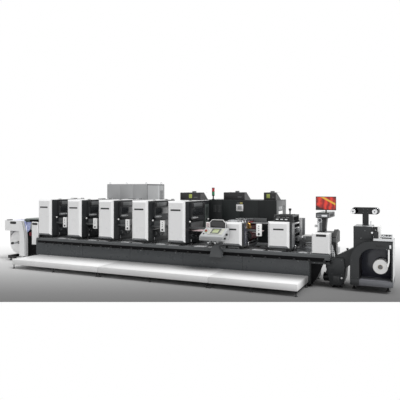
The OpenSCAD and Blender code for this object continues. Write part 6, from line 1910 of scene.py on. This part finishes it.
def make_rear():
    """Covers, vents and bearing caps on the back of the units, the stations and the bench."""
    kit = Kit("rear_parts", slot="dark_paint")
    for number in range(len(parts("unit_covers"))):
        b = part("unit_frame_%d" % (number + 1))
        kit.box((b.x0 + 0.02, b.y1 - 0.002, b.z0 + 0.03), (b.x1 - 0.03, b.y1, b.z1 - 0.03), "machine_grey")
        kit.box((b.x0, b.y0 + 0.30, b.z0 + 0.06), (b.x0 + 0.002, b.y1 - 0.04, b.z1 - 0.06), "machine_grey")
    base = part("base_frame")
    for x0, x1 in leaves(base.x0 + 0.03, base.w - 0.06, 7, 0.012):
        kit.box((x0, base.y1 - 0.002, base.z0 + 0.04),
                (x1, base.y1 + 0.004, base.z1 - 0.03), "skirt_paint", 0.003)
        louvres(kit, x0 + 0.18, x1 - 0.18, base.z0 + 0.12, 8, base.y1 + 0.004)
        kit.bolts((x0 + 0.03, x1 - 0.03), [base.y1 + 0.004],
                  (base.z0 + 0.07, base.z1 - 0.06), BACK, 0.007, "silver")
    for node in ("die_frame_1", "die_frame_2"):
        b = part(node)
        kit.box((b.x0 + 0.02, b.y1 - 0.001, b.z0 + 0.03), (b.x1 - 0.12, b.y1 + 0.003, b.z1 - 0.03),
                "machine_grey", 0.003)
        for z in (b.z(0.3), b.z(0.7)):
            kit.turned((b.x(0.4), b.y1 + 0.002, z), BACK, [(0, 0.058), (0.012, 0.058), (0.016, 0.050),
                    (0.016, 0.030), (0.024, 0.028), (0.024, 0)], "dark_steel", 36)
            for dx, dz in circle(0.044, 6):
                kit.bolt((b.x(0.4) + dx, b.y1 + 0.017, z + dz), BACK, 0.005)
        # left side of each station
        kit.box((b.x0 - 0.003, b.y0 + 0.06, b.z0 + 0.05),
                (b.x0 + 0.001, b.y1 - 0.05, b.z1 - 0.05), "black", 0.003)
    b = part("inspection_frame")
    kit.box((b.x0 + 0.02, b.y1 - 0.001, b.z0 + 0.03), (b.x1 - 0.02, b.y1 + 0.003, b.z1 - 0.03),
            "machine_grey", 0.003)
    louvres(kit, b.x0 + 0.06, b.x1 - 0.06, b.z0 + 0.08, 8, b.y1 + 0.003)
    kit.done()


# ---------------------------------------------------------------- floor and light

FORWARD = Vector((-math.sin(CAMERA_YAW), math.cos(CAMERA_YAW), 0.0))
SIDEWAYS = Vector((math.cos(CAMERA_YAW), math.sin(CAMERA_YAW), 0.0))
# floor tone by distance from the camera's place, near edge first
FLOOR_TONES = ((7.74, 0.175), (8.42, 0.215), (9.10, 0.280), (9.93, 0.365), (10.90, 0.480), (12.10, 0.610),
               (13.60, 0.720), (15.50, 0.855), (18.20, 0.945), (23.0, 1.0))


def make_stage():
    """Pale studio floor, graded from grey near the camera to white behind, with the shadow kept."""
    floor_look = bpy.data.materials.new("studio_floor")
    s = Shader(floor_look)
    away = s.vector("SUBTRACT", s.add("ShaderNodeNewGeometry").outputs["Position"], CAMERA_AT)["Vector"]
    depth = s.vector("DOT_PRODUCT", away, tuple(FORWARD))["Value"]
    near, far = FLOOR_TONES[0][0], FLOOR_TONES[-1][0]
    tones = [((distance - near) / (far - near), tone) for distance, tone in FLOOR_TONES]
    matt = s.add("ShaderNodeBsdfDiffuse", {"Color": s.ramp(s.span(depth, 0.0, 1.0, near, far), tones)})
    glow = s.add("ShaderNodeEmission", {"Color": grey(1.0), "Strength": 1.0})
    white = s.span(depth, 0.0, 1.0, 14.0, far)
    s.end(s.add("ShaderNodeMixShader", {0: white, 1: matt.outputs["BSDF"],
                                        2: glow.outputs["Emission"]}).outputs["Shader"])
    reach = 60.0
    start = Vector((CAMERA_AT[0], CAMERA_AT[1], 0.0)) + FORWARD * near
    aside = SIDEWAYS * reach
    ahead = FORWARD * 2 * reach
    corners = [start - aside, start + aside, start + aside + ahead, start - aside + ahead]
    mesh = bpy.data.meshes.new("floor")
    mesh.from_pydata(corners, [], [(0, 1, 2, 3)])
    floor = bpy.data.objects.new("floor", mesh)
    mesh.materials.append(floor_look)
    bpy.context.scene.collection.objects.link(floor)


WORLD_LIGHT = 0.70
LAMP_LIGHT = 1.9
LAMP_ANGLE = 25.0
LAMP_WAY = (-0.55, 0.13, -0.82)


def make_light():
    """A white world that lights the object more softly than it shows, and one broad sun."""
    world = bpy.data.worlds.new("studio")
    bpy.context.scene.world = world
    s = Shader(world, "ShaderNodeOutputWorld")
    ray = s.add("ShaderNodeLightPath").outputs
    seen = s.math("MAXIMUM", ray["Is Camera Ray"], ray["Is Glossy Ray"])
    seen = s.math("MAXIMUM", seen, ray["Is Transmission Ray"])
    white = {"Color": grey(1.0), "Strength": s.span(seen, WORLD_LIGHT, 1.0)}
    s.end(s.add("ShaderNodeBackground", white).outputs["Background"])
    lamp = bpy.data.lights.new("key", "SUN")
    lamp.energy = LAMP_LIGHT
    lamp.angle = math.radians(LAMP_ANGLE)
    key = bpy.data.objects.new("key", lamp)
    key.rotation_euler = Vector(LAMP_WAY).to_track_quat("-Z", "Y").to_euler()
    bpy.context.scene.collection.objects.link(key)


# ---------------------------------------------------------------- assembly

dress_frame()
for make in (make_platform, make_feet, make_base, make_unit_covers, make_unit_hoods, make_unit_sides,
             make_unit_handles, make_button_plates, make_unit_webs, make_electrical_cabinet,
             make_rear_cabinet, make_lamp_boxes, make_stack_light, make_console, make_die_stations,
             make_die_cylinders, make_die_bay, make_pressure_screw, make_web_guard, make_inspection,
             make_monitor, make_hopper, make_link, make_rewind_roll, make_rewinder, make_dancer,
             make_unwinder, make_unwind_roll, make_web, make_rear, make_stage, make_light):
    make()
